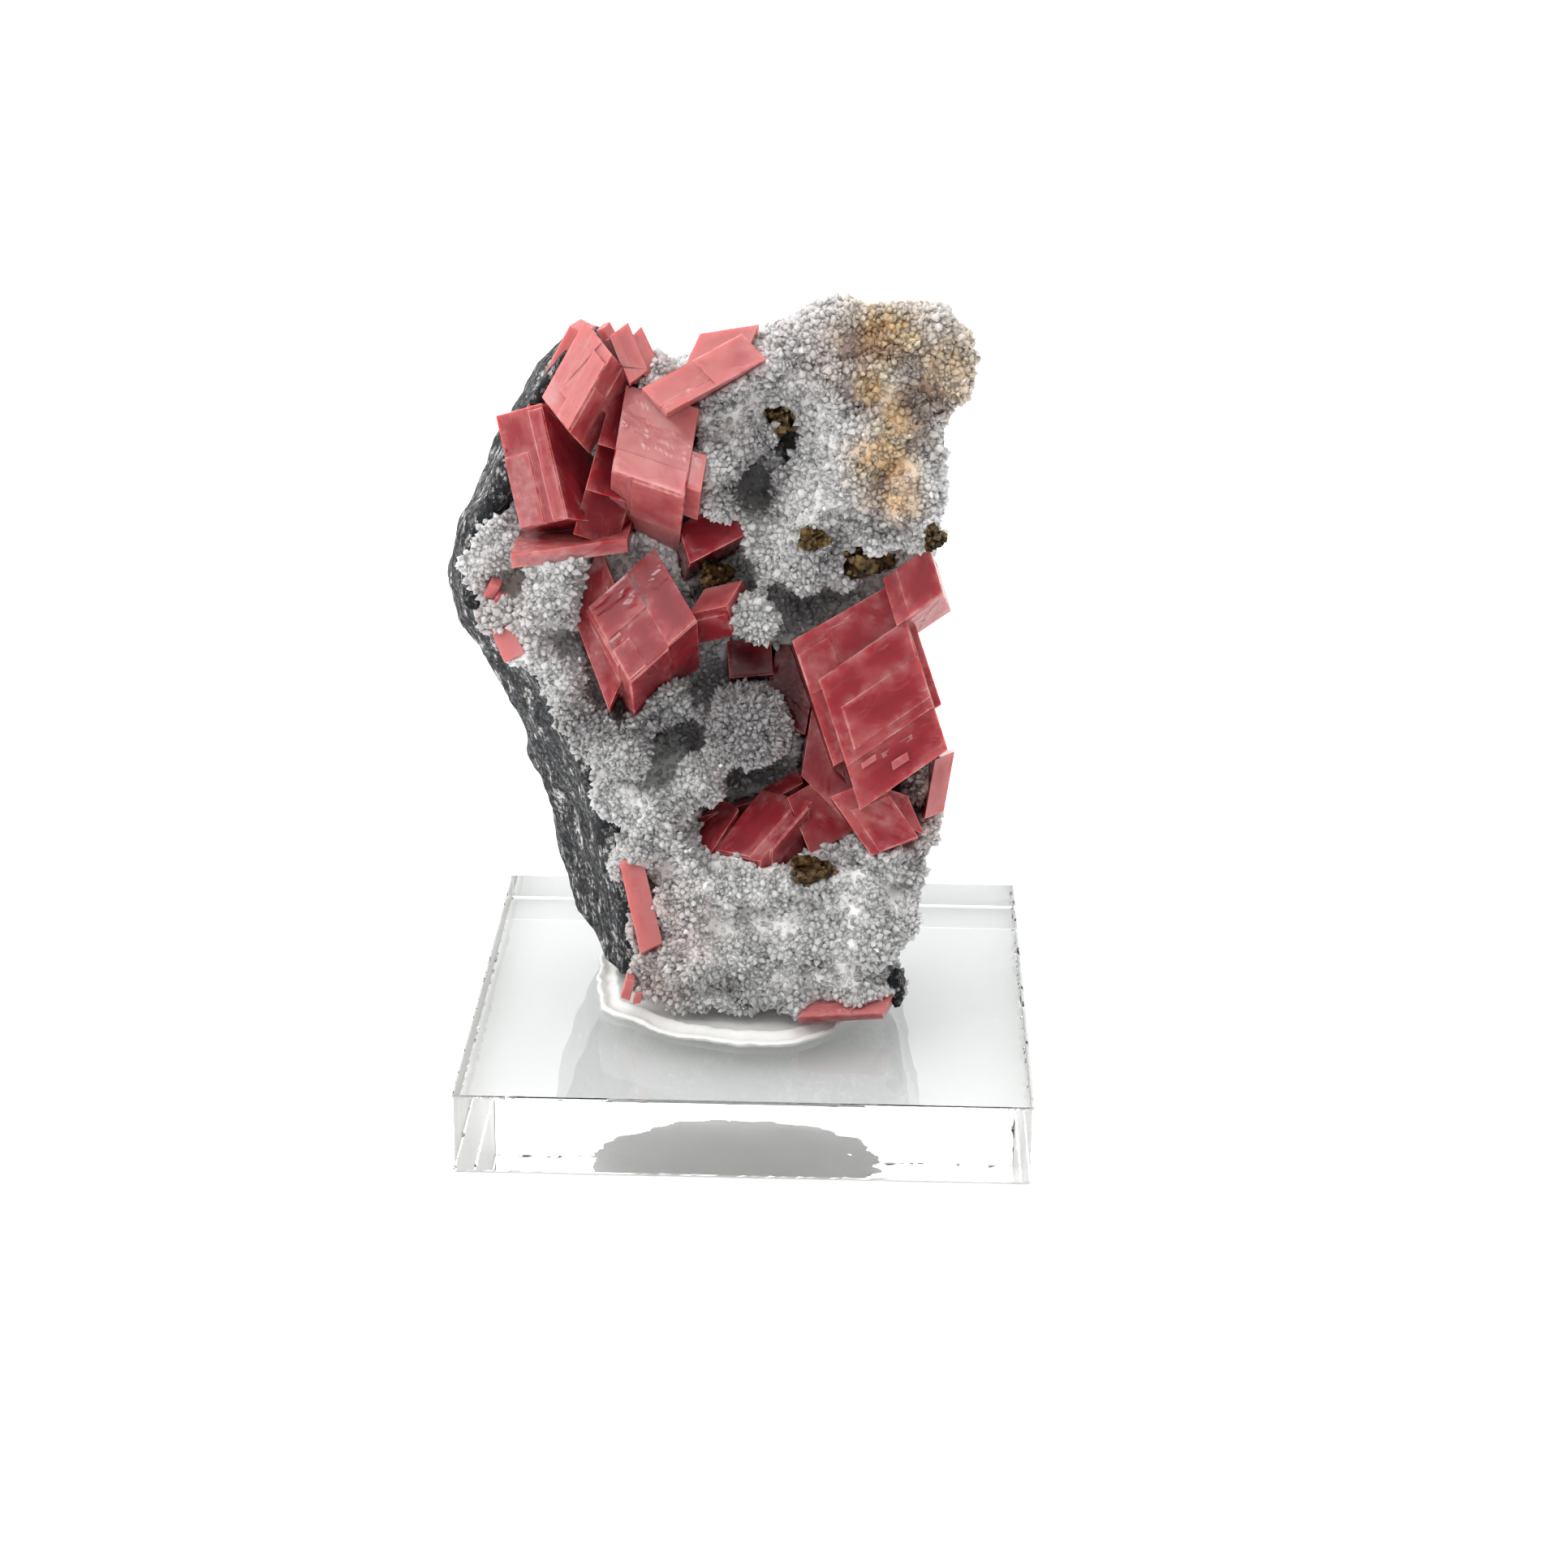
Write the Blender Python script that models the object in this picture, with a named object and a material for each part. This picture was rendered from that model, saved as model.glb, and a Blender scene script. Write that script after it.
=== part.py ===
"""A rhodochrosite specimen: pink rhombs and a white quartz crust on dark rock, set in putty on an acrylic base.

Lengths below are in millimetres. X runs to the right, Y away from the viewer and Z up, and the origin is the
centre of the base's underside.
"""

from math import cos, sin, tau
from random import Random

import bmesh
import bpy
from mathutils import Euler, Vector, noise
from mathutils.bvhtree import BVHTree

MM = 0.001
GAP = 0.3

# The acrylic base
BASE_SIDE = 50.0
BASE_HEIGHT = 7.2
BASE_EDGE = 0.35

# The putty: the outline of its rim seen from above, going round from the front
PUTTY_RIM = [
    (1.4, -15.0), (-8.8, -12.4), (-13.2, -7.0), (-14.6, 0.0), (-14.4, 7.0), (-9.0, 14.0),
    (-1.0, 16.5), (7.0, 14.5), (12.0, 8.0), (12.8, 0.0), (12.2, -8.0), (8.0, -13.2),
]
PUTTY_BED = 8.15
PUTTY_LIP = 9.1

# The specimen is cut off just above the putty's bed.
FOOT = 8.6

# The rock's outline in X and Z, clockwise from the foot of its left wall
ROCK_OUTLINE = [
    (-14.2, FOOT), (-16.0, 12.0), (-17.5, 17.0), (-19.0, 23.0), (-20.8, 29.0), (-23.3, 35.0),
    (-26.4, 40.0), (-28.2, 45.0), (-26.6, 50.0), (-24.5, 55.0), (-22.1, 60.0), (-19.1, 65.0),
    (-16.2, 68.3), (-13.0, 67.8), (-8.0, 65.2), (-2.0, 67.3), (5.0, 70.3), (13.0, 70.4),
    (16.6, 68.2), (17.2, 65.0), (16.3, 60.0), (16.0, 50.0), (14.0, 45.0), (11.6, 40.0),
    (13.6, 35.0), (15.9, 28.0), (15.5, 22.0), (14.5, 16.0), (13.2, FOOT),
]
ROCK_FRONT = 3.0
# Each section behind the front: its Y, and its width and height as shares of the outline
ROCK_SECTIONS = [(ROCK_FRONT, 1.0, 1.0), (8.0, 1.02, 0.965), (11.5, 0.97, 0.94), (14.0, 0.80, 0.85)]
# The left wall reaches forward: its front edge in X and Z, from the foot up
WALL_FRONT = -4.5
WALL_EDGE = [
    (-12.0, FOOT), (-11.4, 12.0), (-11.8, 17.0), (-13.1, 23.0), (-15.0, 29.0), (-16.8, 35.0),
    (-21.4, 40.0), (-26.0, 44.5), (-25.9, 50.0), (-23.0, 55.0), (-21.0, 60.0), (-18.6, 65.0),
    (-16.4, 67.8),
]
WALL_RIM = 1.6
WALL_THICK = 4.5
ROCK_ROUGHNESS = 0.4
BACK_ROUGHNESS = 1.5
LEDGE_SIZE = 11.0

# The quartz crust: a sheet on the rock, and the lumps that stand on it as (x, y, z, radius)
SHEET_OUTLINE = [
    (-10.6, FOOT), (-10.4, 17.0), (-12.0, 23.0), (-14.0, 29.0), (-16.0, 35.0), (-20.0, 40.0),
    (-24.6, 44.5), (-25.0, 50.0), (-22.0, 55.0), (-20.0, 60.0), (-17.8, 65.0), (-15.4, 68.0),
    (-12.0, 67.0), (-7.5, 65.5), (-2.0, 67.8), (5.0, 70.0), (12.0, 70.2), (17.0, 68.2),
    (17.8, 64.0), (16.2, 60.0), (16.2, 52.0), (15.2, 46.0), (11.8, 42.0), (12.6, 36.0),
    (15.8, 29.0), (15.8, 22.0), (14.6, 16.0), (13.4, FOOT),
]
SHEET_FRONT = -2.5
SHEET_BACK = ROCK_FRONT - GAP
LUMPS_TOP = [
    (3.0, -6.5, 69.4, 2.2), (5.4, -5.5, 70.2, 2.1), (8.0, -6.0, 70.6, 2.3), (11.3, -6.0, 70.6, 2.4),
    (15.0, -6.0, 70.2, 2.3), (17.1, -6.0, 67.8, 2.0), (12.6, -8.0, 68.0, 2.8), (16.4, -7.0, 65.0, 2.4),
    (9.6, -7.0, 67.8, 2.5), (14.1, -7.5, 64.1, 2.4), (3.8, -7.5, 67.6, 2.4), (6.5, -8.0, 67.0, 2.4),
    (1.4, -8.0, 66.1, 2.2), (4.8, -6.0, 63.9, 2.3), (8.3, -8.5, 63.2, 2.7), (11.4, -8.0, 60.3, 2.4),
    (14.5, -7.5, 59.5, 2.4), (14.8, -8.0, 56.4, 2.4), (11.8, -9.0, 56.8, 2.5), (8.4, -9.0, 58.2, 2.7),
    (-8.3, -4.5, 65.6, 1.7), (-10.4, -4.0, 66.2, 1.4), (-1.7, -6.6, 64.6, 1.9), (-3.8, -5.0, 62.3, 2.0),
]
LUMPS_MIDDLE = [
    (14.0, -9.0, 53.9, 2.4), (10.5, -9.5, 53.6, 2.5), (5.6, -6.5, 59.4, 2.4), (2.8, -5.5, 56.6, 2.4),
    (-2.7, -7.5, 59.0, 2.3), (0.2, -7.5, 61.0, 1.8), (2.2, -7.2, 54.3, 1.9), (5.3, -8.0, 54.8, 2.3),
    (1.5, -6.0, 50.4, 2.6), (5.0, -6.5, 50.0, 3.1), (-2.6, -4.8, 55.0, 2.2), (7.6, -5.2, 48.2, 1.8),
    (-23.6, -3.6, 48.6, 2.3), (-24.6, -2.2, 46.4, 1.9), (-22.6, -3.8, 51.0, 1.9), (-22.0, -4.5, 43.8, 2.1),
    (-19.6, -5.0, 41.2, 2.3), (-16.9, -5.5, 38.8, 2.5), (-15.8, -5.2, 35.2, 2.0), (-12.6, -6.5, 27.8, 2.2),
    (-11.4, -7.2, 32.4, 3.1), (-7.5, -6.5, 36.4, 2.5), (-4.4, -7.0, 29.5, 2.8), (-14.2, -4.0, 32.2, 2.0),
]
LUMPS_FOOT = [
    (-7.6, -7.5, 26.9, 2.5), (-9.0, -8.5, 24.6, 2.5), (-6.1, -9.0, 23.4, 2.0), (-10.6, -7.4, 21.8, 2.0),
    (-5.3, -9.5, 19.3, 3.2), (-1.7, -9.6, 20.6, 2.9), (2.6, -9.8, 20.0, 3.0), (6.9, -9.6, 21.3, 3.1),
    (10.8, -9.5, 23.5, 2.7), (14.0, -8.0, 21.4, 2.4), (-4.6, -10.0, 14.0, 3.3), (0.5, -10.2, 14.3, 3.7),
    (5.5, -10.2, 15.2, 3.7), (10.5, -9.8, 16.7, 3.6), (13.0, -8.6, 17.9, 2.4), (-5.3, -9.6, 10.8, 2.7),
    (-0.9, -10.0, 11.0, 2.8), (3.4, -10.0, 11.0, 2.7), (9.4, -9.8, 12.4, 2.9), (12.2, -8.6, 12.0, 2.4),
    (-8.8, -8.6, 11.2, 2.3), (15.6, -6.6, 24.6, 1.6), (15.0, -5.4, 29.0, 1.6), (-9.6, -8.0, 16.0, 1.6),
]
# Two spiky balls and a coated rhomb stand clear of the sheet on short stems of crust.
SPIKY_BALL = (-0.3, -7.5, 34.8, 4.3)
HANGING_BALL = (0.3, -7.4, 44.8, 2.1)
HANGING_BALL_STRETCH = 1.35
COATED_RHOMB = ((-15.2, -9.8, 44.0), (-5.0, 0.5, 0.4), (0.6, 2.5, 6.6), (-0.1, 5.5, -1.5))
CRUST_VOXEL = 0.75
CRUST_KEPT = 0.088
ROCK_VOXEL = 1.2
ROCK_KEPT = 0.12

# The rhodochrosite crystals. Each rhomb is the corner nearest the viewer and three edges from it, a, b and c.
# A terrace is a growth step on one of its faces: the face's two edges, the share of each edge that the step
# covers, and its rise.
CRYSTALS = {
    "rhomb_upper_left": [
        ((-15.5, -9.5, 62.0), (3.5, 1.0, 6.2), (-2.4, 3.1, 2.0), (1.3, 5.0, -3.2), [
            ("ab", 0.01, 0.86, 0.01, 0.38, 0.25), ("ab", 0.22, 0.99, 0.38, 0.66, 0.15),
            ("ac", 0.01, 0.58, 0.01, 0.50, 0.2), ("ac", 0.50, 0.99, 0.50, 0.99, 0.15),
        ]),
    ],
    "splinters_upper_left": [
        ((-10.5, -7.0, 65.6), (-1.7, 1.5, 3.5), (1.3, 1.0, 0.8), (-0.3, 4.0, -1.6), []),
        ((-9.3, -5.8, 66.0), (-1.4, 1.0, 2.6), (0.9, 1.0, 0.8), (-0.2, 3.0, -1.2), []),
    ],
    "rhomb_left": [
        ((-15.9, -8.0, 53.9), (-2.4, 3.5, 8.9), (-4.0, 2.2, -1.7), (4.8, 6.0, -2.4), [
            ("ab", 0.01, 0.96, 0.01, 0.24, 0.2), ("ab", 0.01, 0.62, 0.50, 0.99, 0.2),
        ]),
        ((-20.6, -8.5, 50.6), (9.6, 2.0, 1.0), (0.2, 5.0, 0.5), (0.0, 0.4, -1.1), []),
    ],
    "rhomb_tall": [
        ((-5.8, -11.0, 56.9), (-6.1, 2.4, 1.3), (1.0, 3.4, 6.5), (-1.0, 8.8, -7.4), [
            ("ab", 0.01, 0.99, 0.01, 0.24, 0.12), ("ac", 0.01, 0.70, 0.01, 0.62, 0.15),
            ("bc", 0.12, 0.52, 0.02, 0.50, 1.3),
        ]),
    ],
    "blade_top": [
        ((-7.2, -11.5, 64.2), (8.1, 1.0, 4.4), (-1.9, 1.0, 1.7), (-0.3, 6.0, -2.1), [
            ("ab", 0.52, 0.99, 0.01, 0.99, 0.2), ("ab", 0.01, 0.99, 0.01, 0.16, 0.12),
        ]),
        ((-5.6, -7.6, 67.4), (4.7, 1.0, 0.6), (1.0, 2.0, 2.0), (-0.2, 4.0, -1.7), []),
    ],
    "rhomb_central": [
        ((-10.3, -12.0, 40.7), (-3.9, 5.5, 4.6), (5.5, 2.0, 4.7), (-0.1, 6.5, -6.2), [
            ("ab", 0.01, 0.99, 0.60, 0.99, 0.3), ("ab", 0.55, 0.99, 0.01, 0.60, 0.25),
            ("ab", 0.01, 0.38, 0.01, 0.22, 0.2), ("bc", 0.01, 0.55, 0.01, 0.80, 0.15),
            ("ac", 0.25, 0.99, 0.01, 0.70, 0.2),
        ]),
        ((-12.4, -9.0, 37.2), (-3.4, 4.0, 7.4), (2.3, 1.0, 5.4), (-0.2, 5.0, -2.4), []),
    ],
    "rhomb_shaded": [
        ((-5.4, -6.5, 49.7), (4.5, 1.1, 2.2), (-1.1, 2.4, 2.4), (-1.0, 5.0, -3.5), []),
    ],
    "rhomb_small": [
        ((-5.4, -7.5, 45.3), (3.1, -1.1, 1.1), (1.2, 2.5, 1.4), (0.9, 2.5, -3.2), [
            ("ac", 0.01, 0.90, 0.25, 0.99, 0.15),
        ]),
    ],
    "rhombs_right": [
        ((6.0, -10.0, 40.3), (7.2, 1.2, 5.1), (3.7, -3.0, -10.5), (-0.2, 7.0, -2.9), [
            ("ab", 0.01, 0.99, 0.01, 0.66, 0.25), ("ab", 0.13, 0.99, 0.28, 0.58, 0.4),
        ]),
        ((3.6, -8.5, 43.3), (9.0, 2.0, 5.0), (3.7, -3.0, -10.1), (-0.3, 7.0, -2.9), [
            ("ab", 0.01, 0.28, 0.12, 0.42, 0.2),
        ]),
        ((16.2, -10.0, 48.3), (-3.7, 0.5, -2.9), (-1.2, 1.5, 3.5), (0.8, 4.0, -2.7), [
            ("ab", 0.01, 0.70, 0.01, 0.99, 0.2),
        ]),
        ((7.2, -12.0, 30.3), (3.8, 0.8, 1.4), (3.5, -0.5, -5.0), (0.0, 7.0, -3.3), [
            ("ab", 0.20, 0.99, 0.30, 0.99, 0.2),
        ]),
        ((10.4, -11.0, 31.2), (3.2, 1.4, -1.6), (1.4, -0.2, -3.2), (0.0, 5.0, -2.0), []),
        ((4.5, -6.5, 30.2), (0.8, 2.0, 5.6), (4.0, -1.5, -3.6), (-0.5, 5.0, -2.0), []),
        ((3.3, -7.5, 28.4), (4.1, 2.0, 1.9), (2.1, -1.5, -4.6), (-0.1, 5.0, -2.4), []),
    ],
    "rhombs_hollow_foot": [
        ((0.9, -10.0, 23.4), (4.3, 2.0, 4.8), (-4.4, 3.0, -0.4), (-0.1, 1.5, -4.7), [
            ("ab", 0.01, 0.99, 0.22, 0.99, 0.2), ("ac", 0.20, 0.90, 0.01, 0.40, 0.2),
        ]),
        ((-3.8, -8.0, 22.9), (2.5, 2.0, 3.6), (-1.9, 3.0, 0.0), (-0.1, 2.0, -3.5), []),
        ((-4.7, -4.5, 25.2), (8.9, 0.5, 2.8), (1.1, 5.0, -0.1), (0.0, 1.0, -2.1), []),
        ((1.6, -6.2, 27.6), (2.8, 0.4, 1.6), (-0.5, 1.6, 0.5), (0.3, 1.0, -1.2), []),
    ],
    "rhombs_hollow_wall": [
        ((-2.0, -4.5, 38.6), (3.6, 0.5, 0.2), (-0.3, 1.5, 2.7), (0.0, 4.0, -2.3), []),
        ((1.1, -4.0, 35.4), (3.4, -1.0, -1.7), (1.0, 2.0, 5.7), (-0.5, 4.0, -1.6), []),
    ],
    "rhomb_lower_left": [
        ((-9.5, -11.5, 15.2), (-1.9, 2.0, 7.5), (1.7, 0.5, 0.6), (-0.2, 3.0, -1.6), []),
    ],
    "rhomb_foot": [
        ((4.6, -12.6, 9.6), (7.3, 0.0, 0.6), (1.2, 3.2, 0.8), (0.1, 1.2, -1.0), [
            ("ab", 0.01, 0.60, 0.01, 0.60, 0.2),
        ]),
    ],
    "rhomb_left_edge": [
        ((-21.6, -6.6, 40.4), (-1.7, 1.5, 3.4), (1.6, -0.5, 1.0), (0.2, 3.0, -0.6), []),
    ],
    "rhomb_right_edge": [
        ((15.4, -7.8, 27.0), (0.8, 1.5, 4.8), (1.5, 1.5, 0.1), (-0.3, 4.0, -1.2), []),
    ],
}
TERRACE_ROOT = 0.3

# The clusters of brown metallic grains in the crust: the middle, half the width and half the height of each
GRAINS = {
    "grains_upper": ((2.3, -6.3, 62.8), 1.7, 1.6),
    "grains_middle": ((5.2, -9.9, 53.0), 1.1, 0.9),
    "grains_right": ((9.3, -6.4, 50.0), 2.5, 1.4),
    "grains_edge": ((15.4, -11.0, 53.6), 0.8, 0.8),
    "grains_left": ((-3.4, -4.4, 48.0), 1.4, 1.0),
    "grains_lower": ((5.3, -11.9, 23.4), 1.8, 1.2),
}
GRAIN_CUBES = 4


def clear_scene():
    for obj in list(bpy.data.objects):
        bpy.data.objects.remove(obj, do_unlink=True)


def material(name, colour, roughness, metallic=0.0, clear=0.0):
    made = bpy.data.materials.new(name)
    made.use_nodes = True
    shader = made.node_tree.nodes["Principled BSDF"]
    shader.inputs["Base Color"].default_value = (*colour, 1.0)
    shader.inputs["Roughness"].default_value = roughness
    shader.inputs["Metallic"].default_value = metallic
    shader.inputs["Transmission Weight"].default_value = clear
    made.diffuse_color = (*colour, 1.0)
    return made


def set_material(obj, finish):
    obj.data.materials.clear()
    obj.data.materials.append(finish)


def mesh_object(name, points, faces):
    """A closed mesh from points in millimetres, with its faces turned outwards."""
    mesh = bpy.data.meshes.new(name)
    mesh.from_pydata([Vector(p) * MM for p in points], [], faces)
    bm = bmesh.new()
    bm.from_mesh(mesh)
    bmesh.ops.recalc_face_normals(bm, faces=bm.faces)
    bm.to_mesh(mesh)
    bm.free()
    obj = bpy.data.objects.new(name, mesh)
    bpy.context.scene.collection.objects.link(obj)
    return obj


def apply_modifiers(obj):
    bpy.context.view_layer.update()
    evaluated = obj.evaluated_get(bpy.context.evaluated_depsgraph_get())
    solid = bpy.data.meshes.new_from_object(evaluated)
    obj.modifiers.clear()
    obj.data = solid
    return obj


def combine(obj, other, operation, folded=False):
    """Joins other to obj or cuts it away, and removes other. A folded mesh may pass through itself."""
    modifier = obj.modifiers.new(operation, "BOOLEAN")
    modifier.operation = operation
    modifier.solver = "EXACT"
    modifier.use_self = folded
    modifier.object = other
    apply_modifiers(obj)
    bpy.data.objects.remove(other, do_unlink=True)
    return obj


def join_meshes(name, parts):
    """One object that holds the faces of all the parts, still overlapping."""
    bm = bmesh.new()
    for part in parts:
        bm.from_mesh(part.data)
        bpy.data.objects.remove(part, do_unlink=True)
    mesh = bpy.data.meshes.new(name)
    bm.to_mesh(mesh)
    bm.free()
    obj = bpy.data.objects.new(name, mesh)
    bpy.context.scene.collection.objects.link(obj)
    return obj


def fuse(obj, voxel):
    """Melts overlapping closed shapes into one skin."""
    remesh = obj.modifiers.new("fuse", "REMESH")
    remesh.mode = "VOXEL"
    remesh.voxel_size = voxel * MM
    return apply_modifiers(obj)


def thin(obj, kept):
    """Keeps a share of the triangles, most of them where the surface bends most."""
    decimate = obj.modifiers.new("thin", "DECIMATE")
    decimate.ratio = kept
    return apply_modifiers(obj)


def keep_largest(obj):
    """Removes the chips that a cut left loose."""
    bm = bmesh.new()
    bm.from_mesh(obj.data)
    unseen = set(bm.verts)
    pieces = []
    while unseen:
        front = [unseen.pop()]
        piece = list(front)
        while front:
            linked = [edge.other_vert(vert) for vert in front for edge in vert.link_edges]
            front = [vert for vert in dict.fromkeys(linked) if vert in unseen]
            unseen.difference_update(front)
            piece += front
        pieces.append(piece)
    pieces.sort(key=len)
    bmesh.ops.delete(bm, geom=[vert for piece in pieces[:-1] for vert in piece])
    bm.to_mesh(obj.data)
    bm.free()
    return obj


def box(name, low, high):
    corners = [(x, y, z) for x in (low[0], high[0]) for y in (low[1], high[1]) for z in (low[2], high[2])]
    return mesh_object(name, corners, CUBE_FACES)


CUBE_FACES = [(0, 1, 3, 2), (4, 6, 7, 5), (0, 4, 5, 1), (2, 3, 7, 6), (0, 2, 6, 4), (1, 5, 7, 3)]


def rhomb(name, shape):
    """A parallelepiped from its corner and its three edges."""
    corner, a, b, c = (Vector(part) for part in shape[:4])
    corners = [corner + i * a + j * b + k * c for i in (0, 1) for j in (0, 1) for k in (0, 1)]
    return mesh_object(name, corners, CUBE_FACES)


def grown(shape, margin):
    """The same parallelepiped with each face moved out by the margin."""
    corner, a, b, c = (Vector(part) for part in shape[:4])
    volume = abs(a.dot(b.cross(c)))
    edges = []
    for edge, face in ((a, b.cross(c)), (b, c.cross(a)), (c, a.cross(b))):
        height = volume / face.length
        corner = corner - edge * (margin / height)
        edges.append(edge * (1 + 2 * margin / height))
    return (corner, *edges)


def terrace(shape, step):
    """The parallelepiped of one growth step, rooted in the face that it stands on."""
    corner, a, b, c = (Vector(part) for part in shape[:4])
    face, u0, u1, v0, v1, rise = step
    across, along, inward = {"ab": (a, b, c), "ac": (a, c, b), "bc": (b, c, a)}[face]
    normal = across.cross(along).normalized()
    depth = inward / abs(inward.dot(normal))
    start = corner + across * u0 + along * v0 - depth * rise
    return (start, across * (u1 - u0), along * (v1 - v0), depth * (rise + TERRACE_ROOT))


def all_shapes(crystals):
    shapes = []
    for crystal in crystals:
        shapes.append(crystal[:4])
        shapes += [terrace(crystal, step) for step in crystal[4]]
    return shapes


def surface_tree(obj):
    points = [vertex.co for vertex in obj.data.vertices]
    return BVHTree.FromPolygons(points, [polygon.vertices for polygon in obj.data.polygons])


def cut_sockets(obj, shapes):
    """Cuts room for each crystal shape, so that every neighbour keeps the gap."""
    for shape in shapes:
        cutter = rhomb("socket", grown(shape, GAP))
        if surface_tree(obj).overlap(surface_tree(cutter)):
            combine(obj, cutter, "DIFFERENCE")
        else:
            bpy.data.objects.remove(cutter, do_unlink=True)
    return keep_largest(obj)


def crystal_group(name, shapes, taken):
    """One solid for the crystals that grew together, cut back where an earlier group stands."""
    obj = rhomb(name, shapes[0])
    for shape in shapes[1:]:
        combine(obj, rhomb("joined", shape), "UNION")
    return cut_sockets(obj, taken)


def grain_shapes(middle, half_width, half_height, seed):
    """A tilted block, and smaller blocks that grow out of it on all sides."""
    draw = Random(seed)
    shapes = []
    for i in range(GRAIN_CUBES):
        tilt = Euler([draw.uniform(0.2, 1.3) for _ in range(3)]).to_matrix()
        angle = tau * i / (GRAIN_CUBES - 1)
        spread = 0.0 if i == 0 else 0.62
        side = (1.25 if i == 0 else 0.85) * half_height
        wide = half_width / half_height
        centre = Vector(middle) + spread * Vector((half_width * cos(angle), 0.0, half_height * sin(angle)))
        edges = [tilt @ axis * side for axis in (Vector((1, 0, 0)), Vector((0, 1, 0)), Vector((0, 0, 1)))]
        edges = [Vector((edge.x * wide, edge.y, edge.z)) for edge in edges]
        shapes.append((centre - sum(edges, Vector()) / 2, *edges))
    return shapes


def ball(name, centre, radius, stretch=1.0):
    mesh = bpy.data.meshes.new(name)
    bm = bmesh.new()
    bmesh.ops.create_icosphere(bm, subdivisions=3, radius=radius * MM)
    for vert in bm.verts:
        vert.co.z *= stretch
        vert.co += Vector(centre) * MM
    bm.to_mesh(mesh)
    bm.free()
    obj = bpy.data.objects.new(name, mesh)
    bpy.context.scene.collection.objects.link(obj)
    return obj


def loft(name, sections):
    """A closed skin through outlines that have the same number of points."""
    count = len(sections[0])
    points = [point for section in sections for point in section]
    faces = [tuple(range(count)), tuple(range(len(points) - count, len(points)))]
    for level in range(len(sections) - 1):
        for i in range(count):
            near_i, next_i = level * count + i, level * count + (i + 1) % count
            faces.append((near_i, next_i, next_i + count, near_i + count))
    return mesh_object(name, points, faces)


def break_surface(rock):
    """Moves each point along its normal by layered noise, most where the rock was broken off at the back."""
    for vertex, normal in [(v, v.normal.copy()) for v in rock.data.vertices]:
        fine = noise.fractal(vertex.co / (5.0 * MM), 0.9, 2.1, 3)
        ledges = noise.voronoi(vertex.co / (LEDGE_SIZE * MM))[0]
        coarse = 1.6 * (ledges[1] - ledges[0]) - 0.6
        back = max(0.0, normal.y) ** 2
        vertex.co += normal * MM * (ROCK_ROUGHNESS * fine + BACK_ROUGHNESS * back * coarse)
    return rock


def swell(obj, margin):
    """A copy of the object with every point moved out along its normal."""
    copy = bpy.data.objects.new("swollen", obj.data.copy())
    bpy.context.scene.collection.objects.link(copy)
    for vertex, normal in [(v, v.normal.copy()) for v in copy.data.vertices]:
        vertex.co += normal * margin * MM
    return copy


def cut_below(obj, height):
    reach = BASE_SIDE
    return combine(obj, box("below", (-reach, -reach, -reach), (reach, reach, height)), "DIFFERENCE")


def make_base():
    side = BASE_SIDE / 2
    base = box("acrylic_base", (-side, -side, 0), (side, side, BASE_HEIGHT))
    edge = base.modifiers.new("edges", "BEVEL")
    edge.width = BASE_EDGE * MM
    edge.segments = 1
    return apply_modifiers(base)


def smooth_ring(outline, per_span):
    """Points on a closed Catmull-Rom curve through the outline."""
    points = [Vector(p) for p in outline]
    ring = []
    for i in range(len(points)):
        p0, p1, p2, p3 = (points[(i + k - 1) % len(points)] for k in range(4))
        for step in range(per_span):
            t = step / per_span
            ring.append(
                0.5 * (2 * p1 + (p2 - p0) * t + (2 * p0 - 5 * p1 + 4 * p2 - p3) * t * t
                       + (3 * p1 - p0 - 3 * p2 + p3) * t * t * t)
            )
    return ring


def make_putty():
    """A squeezed cake: a thin bed under the specimen inside a raised lip."""
    rim = smooth_ring(PUTTY_RIM, 3)
    foot = BASE_HEIGHT + GAP
    profile = [
        (0.98, foot), (1.0, foot + 0.4), (0.985, PUTTY_LIP - 0.3), (0.95, PUTTY_LIP),
        (0.90, PUTTY_LIP - 0.1), (0.86, PUTTY_BED),
    ]
    sections = []
    for share, height in profile:
        sections.append([(p.x * share, p.y * share, height) for p in rim])
    return loft("mounting_putty", sections)


def make_rock():
    width_centre = sum(x for x, _ in ROCK_OUTLINE) / len(ROCK_OUTLINE)
    sections = []
    for y, wide, tall in ROCK_SECTIONS:
        sections.append(
            [(width_centre + (x - width_centre) * wide, y, FOOT - 1 + (z - FOOT + 1) * tall)
             for x, z in ROCK_OUTLINE]
        )
    slab = loft("slab", sections)
    outer = ROCK_OUTLINE[:len(WALL_EDGE)]
    front = [(x, WALL_FRONT, z) for x, z in WALL_EDGE]
    front += [(x + WALL_RIM, WALL_FRONT, z) for x, z in reversed(WALL_EDGE)]
    back = [(x + 0.1, ROCK_FRONT + 1, z) for x, z in outer]
    back += [(x + WALL_THICK, ROCK_FRONT + 1, z) for x, z in reversed(WALL_EDGE)]
    wall = loft("wall", [front, back])
    rock = fuse(join_meshes("host_rock", [slab, wall]), ROCK_VOXEL)
    return cut_below(thin(break_surface(rock), ROCK_KEPT), FOOT)


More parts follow.
